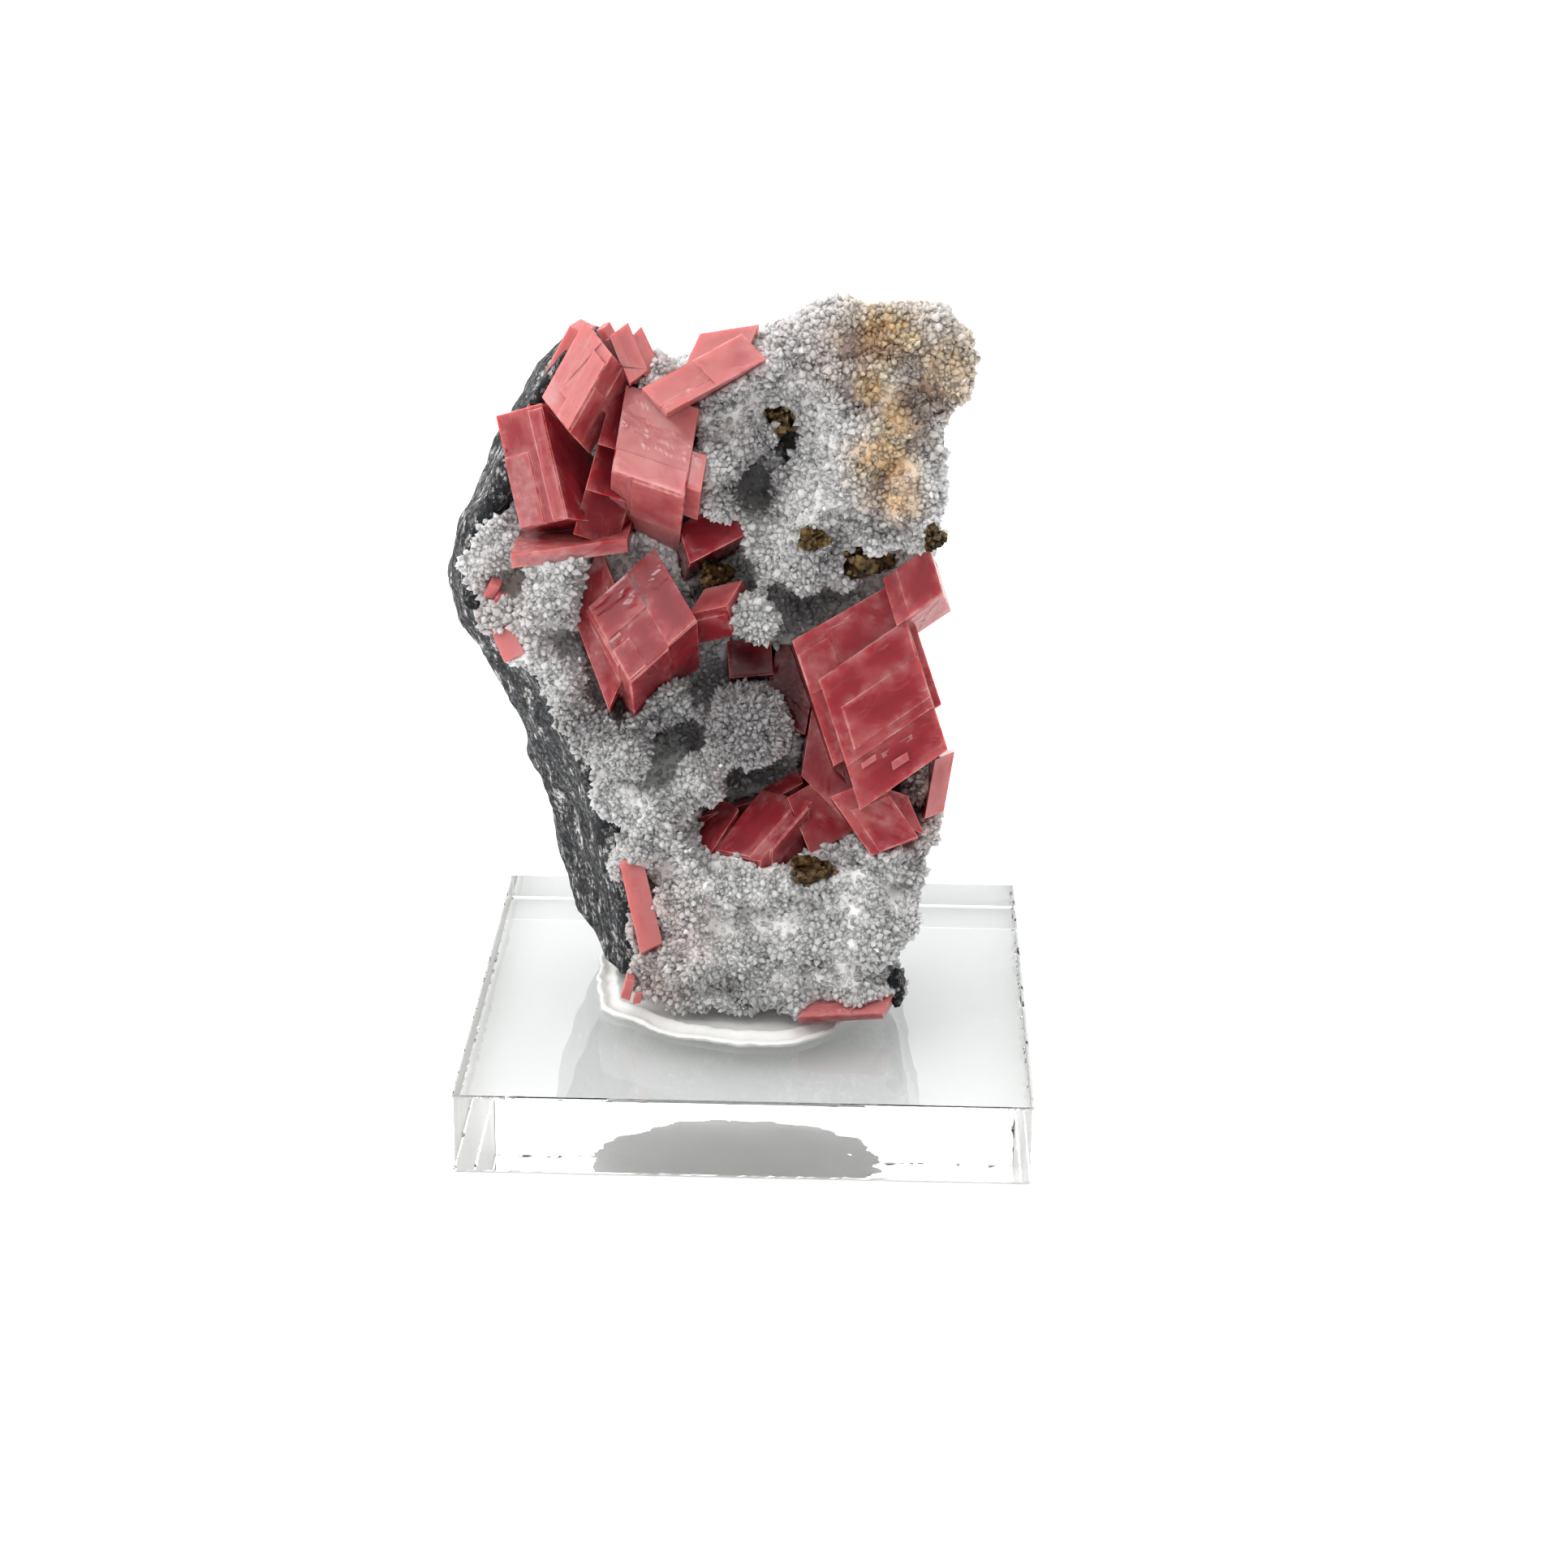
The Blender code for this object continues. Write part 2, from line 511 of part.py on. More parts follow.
def make_crust():
    """The sheet and its lumps fused into one skin."""
    sheet = loft(
        "sheet",
        [[(x, y, z) for x, z in SHEET_OUTLINE] for y in (SHEET_FRONT, SHEET_BACK - 0.5, SHEET_BACK)],
    )
    parts = [sheet, ball("spiky", SPIKY_BALL[:3], SPIKY_BALL[3])]
    parts.append(ball("hanging", HANGING_BALL[:3], HANGING_BALL[3], HANGING_BALL_STRETCH))
    parts.append(rhomb("coated", COATED_RHOMB))
    for x, y, z, radius in LUMPS_TOP + LUMPS_MIDDLE + LUMPS_FOOT:
        parts.append(ball("lump", (x, y, z), radius))
        stem = 0.75 * radius
        parts.append(box("stem", (x - stem, y, z - stem), (x + stem, SHEET_FRONT + 1, z + stem)))
    crust = fuse(join_meshes("quartz_crust", parts), CRUST_VOXEL)
    return cut_below(thin(crust, CRUST_KEPT), FOOT)


def main():
    clear_scene()
    pink = material("rhodochrosite", (0.72, 0.12, 0.14), 0.25)
    quartz = material("quartz druse", (0.78, 0.78, 0.76), 0.35)
    stone = material("host rock", (0.08, 0.08, 0.085), 0.6)
    brown = material("metallic grains", (0.12, 0.08, 0.03), 0.35, metallic=0.6)
    white = material("putty", (0.85, 0.86, 0.88), 0.4)
    acrylic = material("clear acrylic", (0.95, 0.97, 0.98), 0.05, clear=1.0)

    make_base().data.materials.append(acrylic)
    taken = []
    groups = [(name, all_shapes(crystals), pink) for name, crystals in CRYSTALS.items()]
    groups += [
        (name, grain_shapes(*cluster, seed), brown) for seed, (name, cluster) in enumerate(GRAINS.items())
    ]
    for name, shapes, finish in groups:
        set_material(crystal_group(name, shapes, taken), finish)
        taken += shapes
    rock, crust, putty = make_rock(), make_crust(), make_putty()
    for piece, neighbour in ((putty, rock), (putty, crust), (crust, rock)):
        combine(piece, swell(neighbour, GAP + 0.1), "DIFFERENCE", folded=True)
    for piece, finish in ((rock, stone), (crust, quartz), (putty, white)):
        set_material(cut_sockets(piece, taken), finish)


main()
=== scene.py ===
import math

import bmesh
import bpy
import numpy as np
from mathutils import Matrix, Vector, noise
from mathutils.bvhtree import BVHTree
from mathutils.kdtree import KDTree


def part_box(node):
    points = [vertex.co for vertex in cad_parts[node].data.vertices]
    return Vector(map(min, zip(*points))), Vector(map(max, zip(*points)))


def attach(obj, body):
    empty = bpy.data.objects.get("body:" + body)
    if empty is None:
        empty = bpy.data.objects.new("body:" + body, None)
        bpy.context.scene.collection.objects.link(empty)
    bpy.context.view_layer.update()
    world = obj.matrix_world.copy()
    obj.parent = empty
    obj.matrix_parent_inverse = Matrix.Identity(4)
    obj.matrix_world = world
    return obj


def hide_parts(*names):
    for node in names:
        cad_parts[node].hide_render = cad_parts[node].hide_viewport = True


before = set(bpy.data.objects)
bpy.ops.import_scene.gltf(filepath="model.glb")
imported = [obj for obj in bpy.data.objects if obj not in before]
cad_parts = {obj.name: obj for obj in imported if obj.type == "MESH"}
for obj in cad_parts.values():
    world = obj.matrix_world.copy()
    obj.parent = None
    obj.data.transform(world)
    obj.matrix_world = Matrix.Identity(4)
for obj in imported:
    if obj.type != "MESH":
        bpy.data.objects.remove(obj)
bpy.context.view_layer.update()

# ---- The studio ------------------------------------------------------------------------------------
# A plain white table under soft light from above, and the camera a little above the specimen, facing its
# display side. Lengths in this file are millimetres unless a name says otherwise.

MM = 0.001
FLOOR_SIDE = 4000.0
FLOOR_DROP = 0.15
FLOOR_CORNERS = ((-1, -1), (1, -1), (1, 1), (-1, 1))
CAMERA_PLACE = (9.447, -282.255, 134.123)
CAMERA_AZIMUTH, CAMERA_ELEVATION, CAMERA_ROLL = 1.373, 20.795, -0.625
CAMERA_LENS = 76.7
CAMERA_NEAREST = 10.0
# The sky's brightness away from the light, towards the light and as the backdrop
SKY_LOW, SKY_HIGH, SKY_SEEN = 0.25, 2.6, 1.1
LIGHT_FROM = (-0.28, 0.12, 0.95)
SPARKLE_PLACE, SPARKLE_SIDE, SPARKLE_WATTS = (-180, -300, 420), 90, 0.5


def put(tree, kind, values=None, **settings):
    """Adds a node. Each of its sockets takes a plain value or what another node puts out."""
    node = tree.nodes.new(kind)
    for key, value in settings.items():
        setattr(node, key, value)
    for key, value in (values or {}).items():
        if isinstance(value, bpy.types.NodeSocket):
            tree.links.new(value, node.inputs[key])
        else:
            node.inputs[key].default_value = value
    return node


def put_range(tree, value, **ends):
    """Stretches a mask, as in from_min=0.5, to_max=0.4; the ends that aren't named stay 0 and 1."""
    sockets = {key.replace("_", " ").title(): end for key, end in ends.items()}
    return put(tree, "ShaderNodeMapRange", {"Value": value, **sockets}).outputs["Result"]


def new_material(name, values):
    """A material, its node tree and its Principled shader with these plain values."""
    made = bpy.data.materials.new(name)
    made.use_nodes = True
    shader = made.node_tree.nodes["Principled BSDF"]
    for key, value in values.items():
        shader.inputs[key].default_value = value
    return made, made.node_tree, shader


def add_object(name, data):
    """Puts a mesh, a camera or a light into the scene."""
    thing = bpy.data.objects.new(name, data)
    scene.collection.objects.link(thing)
    return thing


scene = bpy.context.scene
scene.view_settings.view_transform = "Standard"

azimuth, elevation, roll = (math.radians(a) for a in (CAMERA_AZIMUTH, CAMERA_ELEVATION, CAMERA_ROLL))
back = Vector((
    math.sin(azimuth) * math.cos(elevation),
    -math.cos(azimuth) * math.cos(elevation),
    math.sin(elevation),
))
level_x = Vector((0, 0, 1)).cross(back).normalized()
level_y = back.cross(level_x)
camera_x = math.cos(roll) * level_x - math.sin(roll) * level_y
camera_y = math.sin(roll) * level_x + math.cos(roll) * level_y
camera_turn = Matrix((camera_x, camera_y, back)).transposed().to_4x4()
camera = add_object("camera", bpy.data.cameras.new("camera"))
camera.matrix_world = Matrix.Translation(Vector(CAMERA_PLACE) * MM) @ camera_turn
camera.data.lens = CAMERA_LENS
camera.data.clip_start = CAMERA_NEAREST * MM
scene.camera = camera

scene.world = bpy.data.worlds.new("white sky")
scene.world.use_nodes = True
sky = scene.world.node_tree
sky_way = put(sky, "ShaderNodeTexCoord").outputs["Generated"]
light_way = Vector(LIGHT_FROM).normalized()
sky_side = put(sky, "ShaderNodeVectorMath", {0: sky_way, 1: light_way}, operation="DOT_PRODUCT")
sky_level = put_range(sky, sky_side.outputs["Value"], to_min=SKY_LOW, to_max=SKY_HIGH)
sky_seen = put(sky, "ShaderNodeLightPath").outputs["Is Camera Ray"]
sky_strength = put(sky, "ShaderNodeMix", {"Factor": sky_seen, "A": sky_level, "B": SKY_SEEN})
sky.links.new(sky_strength.outputs["Result"], sky.nodes["Background"].inputs["Strength"])
sky.nodes["Background"].inputs["Color"].default_value = (1.0, 1.0, 1.0, 1.0)

sparkle = add_object("sparkle", bpy.data.lights.new("sparkle", "AREA"))
sparkle.data.size = SPARKLE_SIDE * MM
sparkle.data.energy = SPARKLE_WATTS
sparkle.location = Vector(SPARKLE_PLACE) * MM
sparkle.rotation_mode = "QUATERNION"
sparkle.rotation_quaternion = Vector(SPARKLE_PLACE).to_track_quat("Z", "Y")

paper, _, _ = new_material("white paper", {
    "Base Color": (0.93, 0.93, 0.93, 1.0),
    "Roughness": 0.9,
    "Specular IOR Level": 0.1,
})
reach = FLOOR_SIDE / 2 * MM
floor_mesh = bpy.data.meshes.new("floor")
floor_mesh.from_pydata([(x * reach, y * reach, -FLOOR_DROP * MM) for x, y in FLOOR_CORNERS], [], [range(4)])
floor_mesh.materials.append(paper)
floor = add_object("floor", floor_mesh)

# ---- The acrylic base ------------------------------------------------------------------------------
# A square block cut from clear cast acrylic sheet. Its top and bottom keep the sheet's polish, and the
# sawn sides are sanded and slightly yellow, with small chips along their edges.

BASE_EDGE = 0.2
EDGE_ROUNDNESS = 0.6
CHIP_SPACING = 0.5
CHIP_DEPTH = 0.22
# The chips: repeats per millimetre, the least noise that makes a chip, and their share of the depth
CHIPS = ((0.9, 0.28, 1.0), (3.1, 0.1, 0.3))
FACE_TOLERANCE = 1e-4
SIDEWAYS = 0.9
ACRYLIC_IOR = 1.49
SAW_REPEATS = (900.0, 900.0, 90.0)


def chipped_block(low, high, edge):
    """A block with bevelled edges that are nicked here and there; its six large faces stay flat."""
    bm = bmesh.new()
    bmesh.ops.create_cube(bm, size=1.0)
    size, middle = high - low, (low + high) / 2
    for vert in bm.verts:
        vert.co = Vector((middle[i] + vert.co[i] * size[i] for i in range(3)))
    bmesh.ops.bevel(
        bm, geom=bm.edges[:], offset=edge, segments=2, profile=EDGE_ROUNDNESS, affect="EDGES"
    )
    long_edges = [e for e in bm.edges if e.calc_length() > size.z / 2]
    bmesh.ops.subdivide_edges(bm, edges=long_edges, cuts=int(size.x / CHIP_SPACING))
    for vert in bm.verts:
        nick = sum(
            share * max(0.0, noise.noise(vert.co * repeats) - least) for repeats, least, share in CHIPS
        )
        for i in range(3):
            inset = size[i] / 2 - abs(vert.co[i] - middle[i])
            if FACE_TOLERANCE < inset < edge + FACE_TOLERANCE:
                vert.co[i] += math.copysign(nick * CHIP_DEPTH, middle[i] - vert.co[i])
    bmesh.ops.recalc_face_normals(bm, faces=bm.faces[:])
    return bm


def add_solid(name, bm):
    """Puts a finished bmesh into the scene."""
    mesh = bpy.data.meshes.new(name)
    bm.to_mesh(mesh)
    bm.free()
    return add_object(name, mesh)


def put_bump(tree, shader, height, strength, depth):
    """Feeds a height into the shader's normal; depth is in millimetres."""
    node = put(tree, "ShaderNodeBump", {"Strength": strength, "Distance": depth * MM, "Height": height})
    tree.links.new(node.outputs["Normal"], shader.inputs["Normal"])


base_low, base_high = (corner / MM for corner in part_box("acrylic_base"))
block = chipped_block(base_low, base_high, BASE_EDGE)
for vert in block.verts:
    vert.co *= MM
for face in block.faces:
    face.material_index = int(abs(face.normal.x) > SIDEWAYS)
acrylic = add_solid("acrylic_block", block)

clear, _, _ = new_material("clear acrylic", {
    "Base Color": (0.94, 0.955, 0.955, 1.0),
    "Roughness": 0.01,
    "IOR": ACRYLIC_IOR,
    "Transmission Weight": 1.0,
})
sawn, sawn_tree, sawn_shader = new_material("sawn acrylic edge", {
    "Base Color": (0.98, 0.96, 0.84, 1.0),
    "IOR": ACRYLIC_IOR,
    "Transmission Weight": 0.7,
})
saw_place = put(sawn_tree, "ShaderNodeTexCoord").outputs["Object"]
saw_way = put(sawn_tree, "ShaderNodeMapping", {"Vector": saw_place, "Scale": SAW_REPEATS}).outputs["Vector"]
saw_noise = put(sawn_tree, "ShaderNodeTexNoise", {"Vector": saw_way, "Scale": 1.0, "Detail": 3.0})
saw_marks = saw_noise.outputs["Fac"]
saw_rough = put_range(sawn_tree, saw_marks, to_min=0.25, to_max=0.6)
sawn_tree.links.new(saw_rough, sawn_shader.inputs["Roughness"])
put_bump(sawn_tree, sawn_shader, saw_marks, 0.25, 0.1)
acrylic.data.materials.append(clear)
acrylic.data.materials.append(sawn)
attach(acrylic, "root")
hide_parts("acrylic_base")

# ---- The mounting putty ----------------------------------------------------------------------------
# A lump of white mineral putty, pressed flat between the block and the specimen's foot. It wets the
# acrylic, and what was squeezed out stands round the specimen as a thin, rounded, uneven lip.

PUTTY_VOXEL = 0.38
PUTTY_SINK = 0.02
AIR_GAP = 0.12
UNDERSIDE = 0.15
# The rim: the circle on which its noise is read, then its waves and ripples (share of the radius, length)
RIM_CIRCLE = 8.0
RIM_WAVES, RIM_RIPPLES = (0.055, 3.0), (0.025, 1.2)
RIM_DEPTH = 10.0
# Where the cake is drawn in under the foot: (bearing in radians, half width, share of the radius)
DRAWN_IN = [(-0.72, 0.40, 0.15), (-2.65, 0.30, -0.03), (-2.2, 0.16, 0.05)]
# The rim's reach is measured in sectors and evened out over their neighbours
SECTORS, SECTOR_ROUNDS = 120, 4
# The thin edge, the bead on it (height, width, unevenness, length) and how the skirt climbs to the foot
PUTTY_EDGE = 0.22
BEAD_HEIGHT, BEAD_WIDTH, BEAD_UNEVEN, BEAD_LENGTH = 0.45, 0.35, 0.6, 2.0
SKIRT_WIDTH, SKIRT_RISE, SKIRT_CURVE = 4.2, 5.5, 2.6
# Where the underside touches the acrylic, how softly it leaves it, and the air trapped between the two
CONTACT_MARGIN, CONTACT_RAMP = 0.4, 1.0
MARGIN_WAVES, MARGIN_RIPPLES = (1.0, 3.0, 3), (0.25, 3.0, 3)
POCKET_STRETCH, POCKET_SIZE, POCKET_LEAST, POCKET_EDGE = (1.0, 0.5, 1.0), 2.2, 0.75, 3.0
# Layered noise: how fast each finer layer fades, and how much finer than the last one it is
LAYER_FADE, LAYER_STEP = 0.9, 2.1
# Dents left by the fingers: (height, size, octaves), on what stands higher than this
DENTS, DENTED_ABOVE = ((0.06, 2.2, 3), (0.03, 0.8, 3)), 0.2
PUTTY_GREY, PUTTY_WHITE = (0.72, 0.72, 0.70), (0.80, 0.79, 0.76)


def new_mask_group(name, inputs):
    """A node group that takes these numbers and puts out one mask, with the sockets of its inputs."""
    group = bpy.data.node_groups.new(name, "ShaderNodeTree")
    for key, value in inputs.items():
        socket = group.interface.new_socket(key, in_out="INPUT", socket_type="NodeSocketFloat")
        socket.default_value = value
    group.interface.new_socket("Value", in_out="OUTPUT", socket_type="NodeSocketFloat")
    return group, put(group, "NodeGroupInput").outputs


def mottle_group():
    """Layered noise in the object's own space, stretched to a low-to-high range of 0 to 1."""
    group, given = new_mask_group("mottle", {"Scale": 1.0, "Detail": 4.0, "Low": 0.35, "High": 0.65})
    per_mm = put(group, "ShaderNodeMath", {0: given["Scale"], 1: 1 / MM}, operation="MULTIPLY")
    texture = put(group, "ShaderNodeTexNoise", {
        "Vector": put(group, "ShaderNodeTexCoord").outputs["Object"],
        "Scale": per_mm.outputs["Value"],
        "Detail": given["Detail"],
        "Roughness": 0.6,
    })
    mask = put_range(group, texture.outputs["Fac"], from_min=given["Low"], from_max=given["High"])
    put(group, "NodeGroupOutput", {"Value": mask})
    return group


MOTTLE = mottle_group()


def put_mottle(tree, scale, low, high, detail=4.0):
    """Places the mottle group; its scale is in repeats per millimetre."""
    values = {"Scale": scale, "Low": low, "High": high, "Detail": detail}
    return put(tree, "ShaderNodeGroup", values, node_tree=MOTTLE).outputs["Value"]


def put_blend(tree, amount, first, second):
    """Mixes two colours by a mask. Each colour is a socket or three numbers."""
    node = put(tree, "ShaderNodeMix", {"Factor": amount}, data_type="RGBA")
    for slot, colour in (("A", first), ("B", second)):
        socket = next(s for s in node.inputs if s.name == slot and s.type == "RGBA")
        if isinstance(colour, tuple):
            socket.default_value = (*colour, 1.0)
        else:
            tree.links.new(colour, socket)
    return next(s for s in node.outputs if s.type == "RGBA")


def copy_of_node(node, name, weld=0.001):
    """A new object with the welded mesh of a CAD node."""
    bm = bmesh.new()
    bm.from_mesh(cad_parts[node].data)
    bmesh.ops.remove_doubles(bm, verts=bm.verts[:], dist=weld * MM)
    return add_solid(name, bm)


def apply_modifiers(piece):
    """Replaces the piece's mesh by what its modifiers make of it."""
    bpy.context.view_layer.update()
    made = bpy.data.meshes.new_from_object(piece.evaluated_get(bpy.context.evaluated_depsgraph_get()))
    piece.modifiers.clear()
    piece.data = made


def remesh(piece, voxel, smoothing):
    """Rebuilds the skin on an even grid, then relaxes it."""
    grid = piece.modifiers.new("grid", "REMESH")
    grid.mode = "VOXEL"
    grid.voxel_size = voxel * MM
    relax = piece.modifiers.new("relax", "SMOOTH")
    relax.iterations = smoothing
    apply_modifiers(piece)


def read_points(mesh):
    """The mesh's points in millimetres."""
    points = np.empty(len(mesh.vertices) * 3, np.float32)
    mesh.vertices.foreach_get("co", points)
    return points.reshape(-1, 3).astype(float) / MM


def read_normals(mesh):
    """The normal at each of the mesh's points."""
    normals = np.empty(len(mesh.vertices) * 3, np.float32)
    mesh.vertex_normals.foreach_get("vector", normals)
    return normals.reshape(-1, 3).astype(float)


def write_points(mesh, points):
    """Moves the mesh's points to these places in millimetres."""
    mesh.vertices.foreach_set("co", (points * MM).astype(np.float32).ravel())
    mesh.update()


def fractal(points, size, octaves=3):
    """Layered noise at each point, about -1 to 1, with lumps of this size."""
    return np.array([noise.fractal(Vector(p) / size, LAYER_FADE, LAYER_STEP, octaves) for p in points])


def relief(points, *layers):
    """The height of several layers of noise on each other: (height, size, octaves)."""
    return sum(height * fractal(points, size, octaves) for height, size, octaves in layers)


putty = copy_of_node("mounting_putty", "putty_cake")
remesh(putty, PUTTY_VOXEL, 3)
points, normals = read_points(putty.data), read_normals(putty.data)
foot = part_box("mounting_putty")[0].z / MM
middle = (points[:, :2].max(axis=0) + points[:, :2].min(axis=0)) / 2
from_middle = points[:, :2] - middle
away = np.hypot(from_middle[:, 0], from_middle[:, 1])
bearing = np.arctan2(from_middle[:, 1], from_middle[:, 0])

# How far each point stands inside the rim
sector = ((bearing / math.tau + 0.5) * SECTORS).astype(int) % SECTORS
reach_of_sector = np.zeros(SECTORS)
np.maximum.at(reach_of_sector, sector, away)
for _ in range(SECTOR_ROUNDS):
    reach_of_sector = (np.roll(reach_of_sector, 1) + 2 * reach_of_sector + np.roll(reach_of_sector, -1)) / 4
middle_of_sector = ((np.arange(SECTORS) + 0.5) / SECTORS - 0.5) * math.tau
inward = np.maximum(0, np.interp(bearing, middle_of_sector, reach_of_sector, period=math.tau) - away)

# The rim's wavy outline
on_circle = np.stack([np.cos(bearing) * RIM_CIRCLE, np.sin(bearing) * RIM_CIRCLE, 0 * bearing], axis=1)
wobble = RIM_WAVES[0] * (0.5 + 0.5 * fractal(on_circle, RIM_WAVES[1]))
wobble += RIM_RIPPLES[0] * fractal(on_circle, RIM_RIPPLES[1])
for toward, half_width, share in DRAWN_IN:
    wobble += share * np.exp(-((bearing - toward) / half_width) ** 2)

# The thin edge with its bead, the skirt, and the underside that wets the acrylic
lift = points[:, 2] - foot
skirt = np.clip(inward / SKIRT_WIDTH, 0, 1)
bead = BEAD_HEIGHT * (1 + BEAD_UNEVEN * fractal(on_circle, BEAD_LENGTH))
bead *= np.exp(-((inward - BEAD_WIDTH) / BEAD_WIDTH) ** 2)
ceiling = PUTTY_EDGE + SKIRT_RISE * skirt ** SKIRT_CURVE + bead
margin = CONTACT_MARGIN + relief(on_circle, MARGIN_WAVES) + relief(points, MARGIN_RIPPLES)
pockets = np.clip(POCKET_EDGE * (fractal(points * POCKET_STRETCH, POCKET_SIZE) - POCKET_LEAST), -1, 1)
raised = np.maximum(np.clip((margin - inward) / CONTACT_RAMP, -1, 1), pockets)
stand = np.where(raised < 0, raised * PUTTY_SINK, raised * AIR_GAP)
lift = np.where(lift < UNDERSIDE, stand, np.maximum(AIR_GAP, np.minimum(lift, ceiling)))
points[:, 2] = base_high.z + lift
points[:, :2] = middle + from_middle * (1 - wobble * np.clip(away / RIM_DEPTH, 0, 1))[:, None]
points += normals * (relief(points, *DENTS) * (lift > DENTED_ABOVE))[:, None]
write_points(putty.data, points)
putty.data.shade_smooth()

white, white_tree, white_shader = new_material("white putty", {
    "Roughness": 0.38,
    "Subsurface Weight": 0.6,
    "Subsurface Radius": (1.0, 1.0, 1.1),
    "Subsurface Scale": 1.2 * MM,
})
thick_and_thin = put_mottle(white_tree, scale=0.25, low=0.35, high=0.7)
white_tint = put_blend(white_tree, thick_and_thin, PUTTY_GREY, PUTTY_WHITE)
white_tree.links.new(white_tint, white_shader.inputs["Base Color"])
put_bump(white_tree, white_shader, put_mottle(white_tree, scale=1.6, low=0.3, high=0.7), 0.25, 0.08)
putty.data.materials.append(white)
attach(putty, "root")
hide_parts("mounting_putty")

# ---- The host rock ---------------------------------------------------------------------------------
# Dark, fine-grained wall rock in thin black and pale bands that run along the left wall. It was broken
# out with a hammer, so its wall and back are rough with small ledges and pits.

ROCK_VOXEL = 0.45
ROCK_KEPT = 0.5
ROCK_SHRINK = 0.12
# The break's roughness: (height, size, octaves)
ROCK_CRUMBS, ROCK_LEDGES = (0.16, 1.6, 4), (0.22, 5.0, 3)
BAND_REPEATS, BAND_LEAN = (800.0, 800.0, 260.0), 0.33
BLACK_GRAINS, DARK_GRAINS = (0.004, 0.005, 0.007), (0.10, 0.105, 0.11)
GREY_GRAINS, WHITE_GRAINS = (0.04, 0.042, 0.045), (0.62, 0.60, 0.58)


def thin(piece, kept):
    """Keeps this share of the triangles."""
    fewer = piece.modifiers.new("fewer", "DECIMATE")
    fewer.ratio = kept
    apply_modifiers(piece)


rock = copy_of_node("host_rock", "broken_rock")
remesh(rock, ROCK_VOXEL, 2)
points, normals = read_points(rock.data), read_normals(rock.data)
points += normals * (relief(points, ROCK_CRUMBS, ROCK_LEDGES) - ROCK_SHRINK)[:, None]
points[:, 2] = np.maximum(points[:, 2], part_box("host_rock")[0].z / MM)
write_points(rock.data, points)
thin(rock, ROCK_KEPT)

stone, stone_tree, stone_shader = new_material("banded dark rock", {"Specular IOR Level": 0.35})
band_way = put(stone_tree, "ShaderNodeMapping", {
    "Vector": put(stone_tree, "ShaderNodeTexCoord").outputs["Object"],
    "Scale": BAND_REPEATS,
    "Rotation": (0.0, BAND_LEAN, 0.0),
})
bands = put(stone_tree, "ShaderNodeTexNoise", {
    "Vector": band_way.outputs["Vector"],
    "Scale": 1.0,
    "Detail": 7.0,
    "Roughness": 0.75,
})
band_mask = put_range(stone_tree, bands.outputs["Fac"], from_min=0.53, from_max=0.60)
dark_grains = put_mottle(stone_tree, scale=1.7, low=0.54, high=0.60, detail=5.0)
pale_grains = put_mottle(stone_tree, scale=1.9, low=0.46, high=0.56, detail=5.0)
dark_tint = put_blend(stone_tree, dark_grains, BLACK_GRAINS, DARK_GRAINS)
pale_tint = put_blend(stone_tree, pale_grains, GREY_GRAINS, WHITE_GRAINS)
stone_tint = put_blend(stone_tree, band_mask, dark_tint, pale_tint)
stone_tree.links.new(stone_tint, stone_shader.inputs["Base Color"])
gleam = put_mottle(stone_tree, scale=3.0, low=0.35, high=0.6)
stone_tree.links.new(put_range(stone_tree, gleam, to_min=0.4, to_max=0.8), stone_shader.inputs["Roughness"])
rough_grain = put_mottle(stone_tree, scale=2.6, low=0.3, high=0.7, detail=6.0)
put_bump(stone_tree, stone_shader, rough_grain, 0.6, 0.18)
rock.data.materials.append(stone)
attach(rock, "root")
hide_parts("host_rock")

# ---- The rhodochrosite crystals --------------------------------------------------------------------
# Glassy rhombs of rhodochrosite, clear enough to glow red inside and veiled near the surface by cleavage
# planes. Their faces grew in thin steps, so they are striped along their edges, and the edges are rubbed.

# Each face moves out by this much, and a corner by this many times as much at most. Faces that bend less
# than this share against each other count as one there
CRYSTAL_SWELL, MOST_SWELL, LEAST_BEND = 0.13, 2.5, 0.05
EDGE_RUB, RUBBED_ANGLE = 0.06, 25.0
STEP_MESH, MOST_HALVINGS = 0.45, 7
# How alike two directions are, as the cosine between them, to count as one
SAME_RUN, SAME_FACE, SAME_PLANE = 0.98, 0.99, 0.999
PLANE_SPACING = 0.04
# Each facet reads its own part of the noise, this far from the facet before it
FACET_SHIFT = (40.0, 17.0)
# Growth steps: depth, how steep their risers are, and how far from the rim they reach their full depth
STEP_DEPTH, RISER, STEP_FADE = 0.05, 5.0, 0.3
# The patterns on a facet: (repeats per millimetre along its first and second edge, layer of the noise)
LONG_BANDS, CROSS_BANDS = (0.06, 0.55, 3.0), (0.45, 0.1, 9.0)
LONG_STEPS, CROSS_STEPS = 2.0, 1.4
WORN_PARTS, WORN_CONTRAST, WORN_LEAST = (0.28, 0.28, 21.0), 5.0, 0.9
FLAKE_WAVER, FLAKE_SIZE, FLAKE_LAYER, FLAKE_DEPTH = (0.5, 0.5, 5.0), (1.5, 0.8), 0.5, 0.14
RIM_GLOW = 1.3
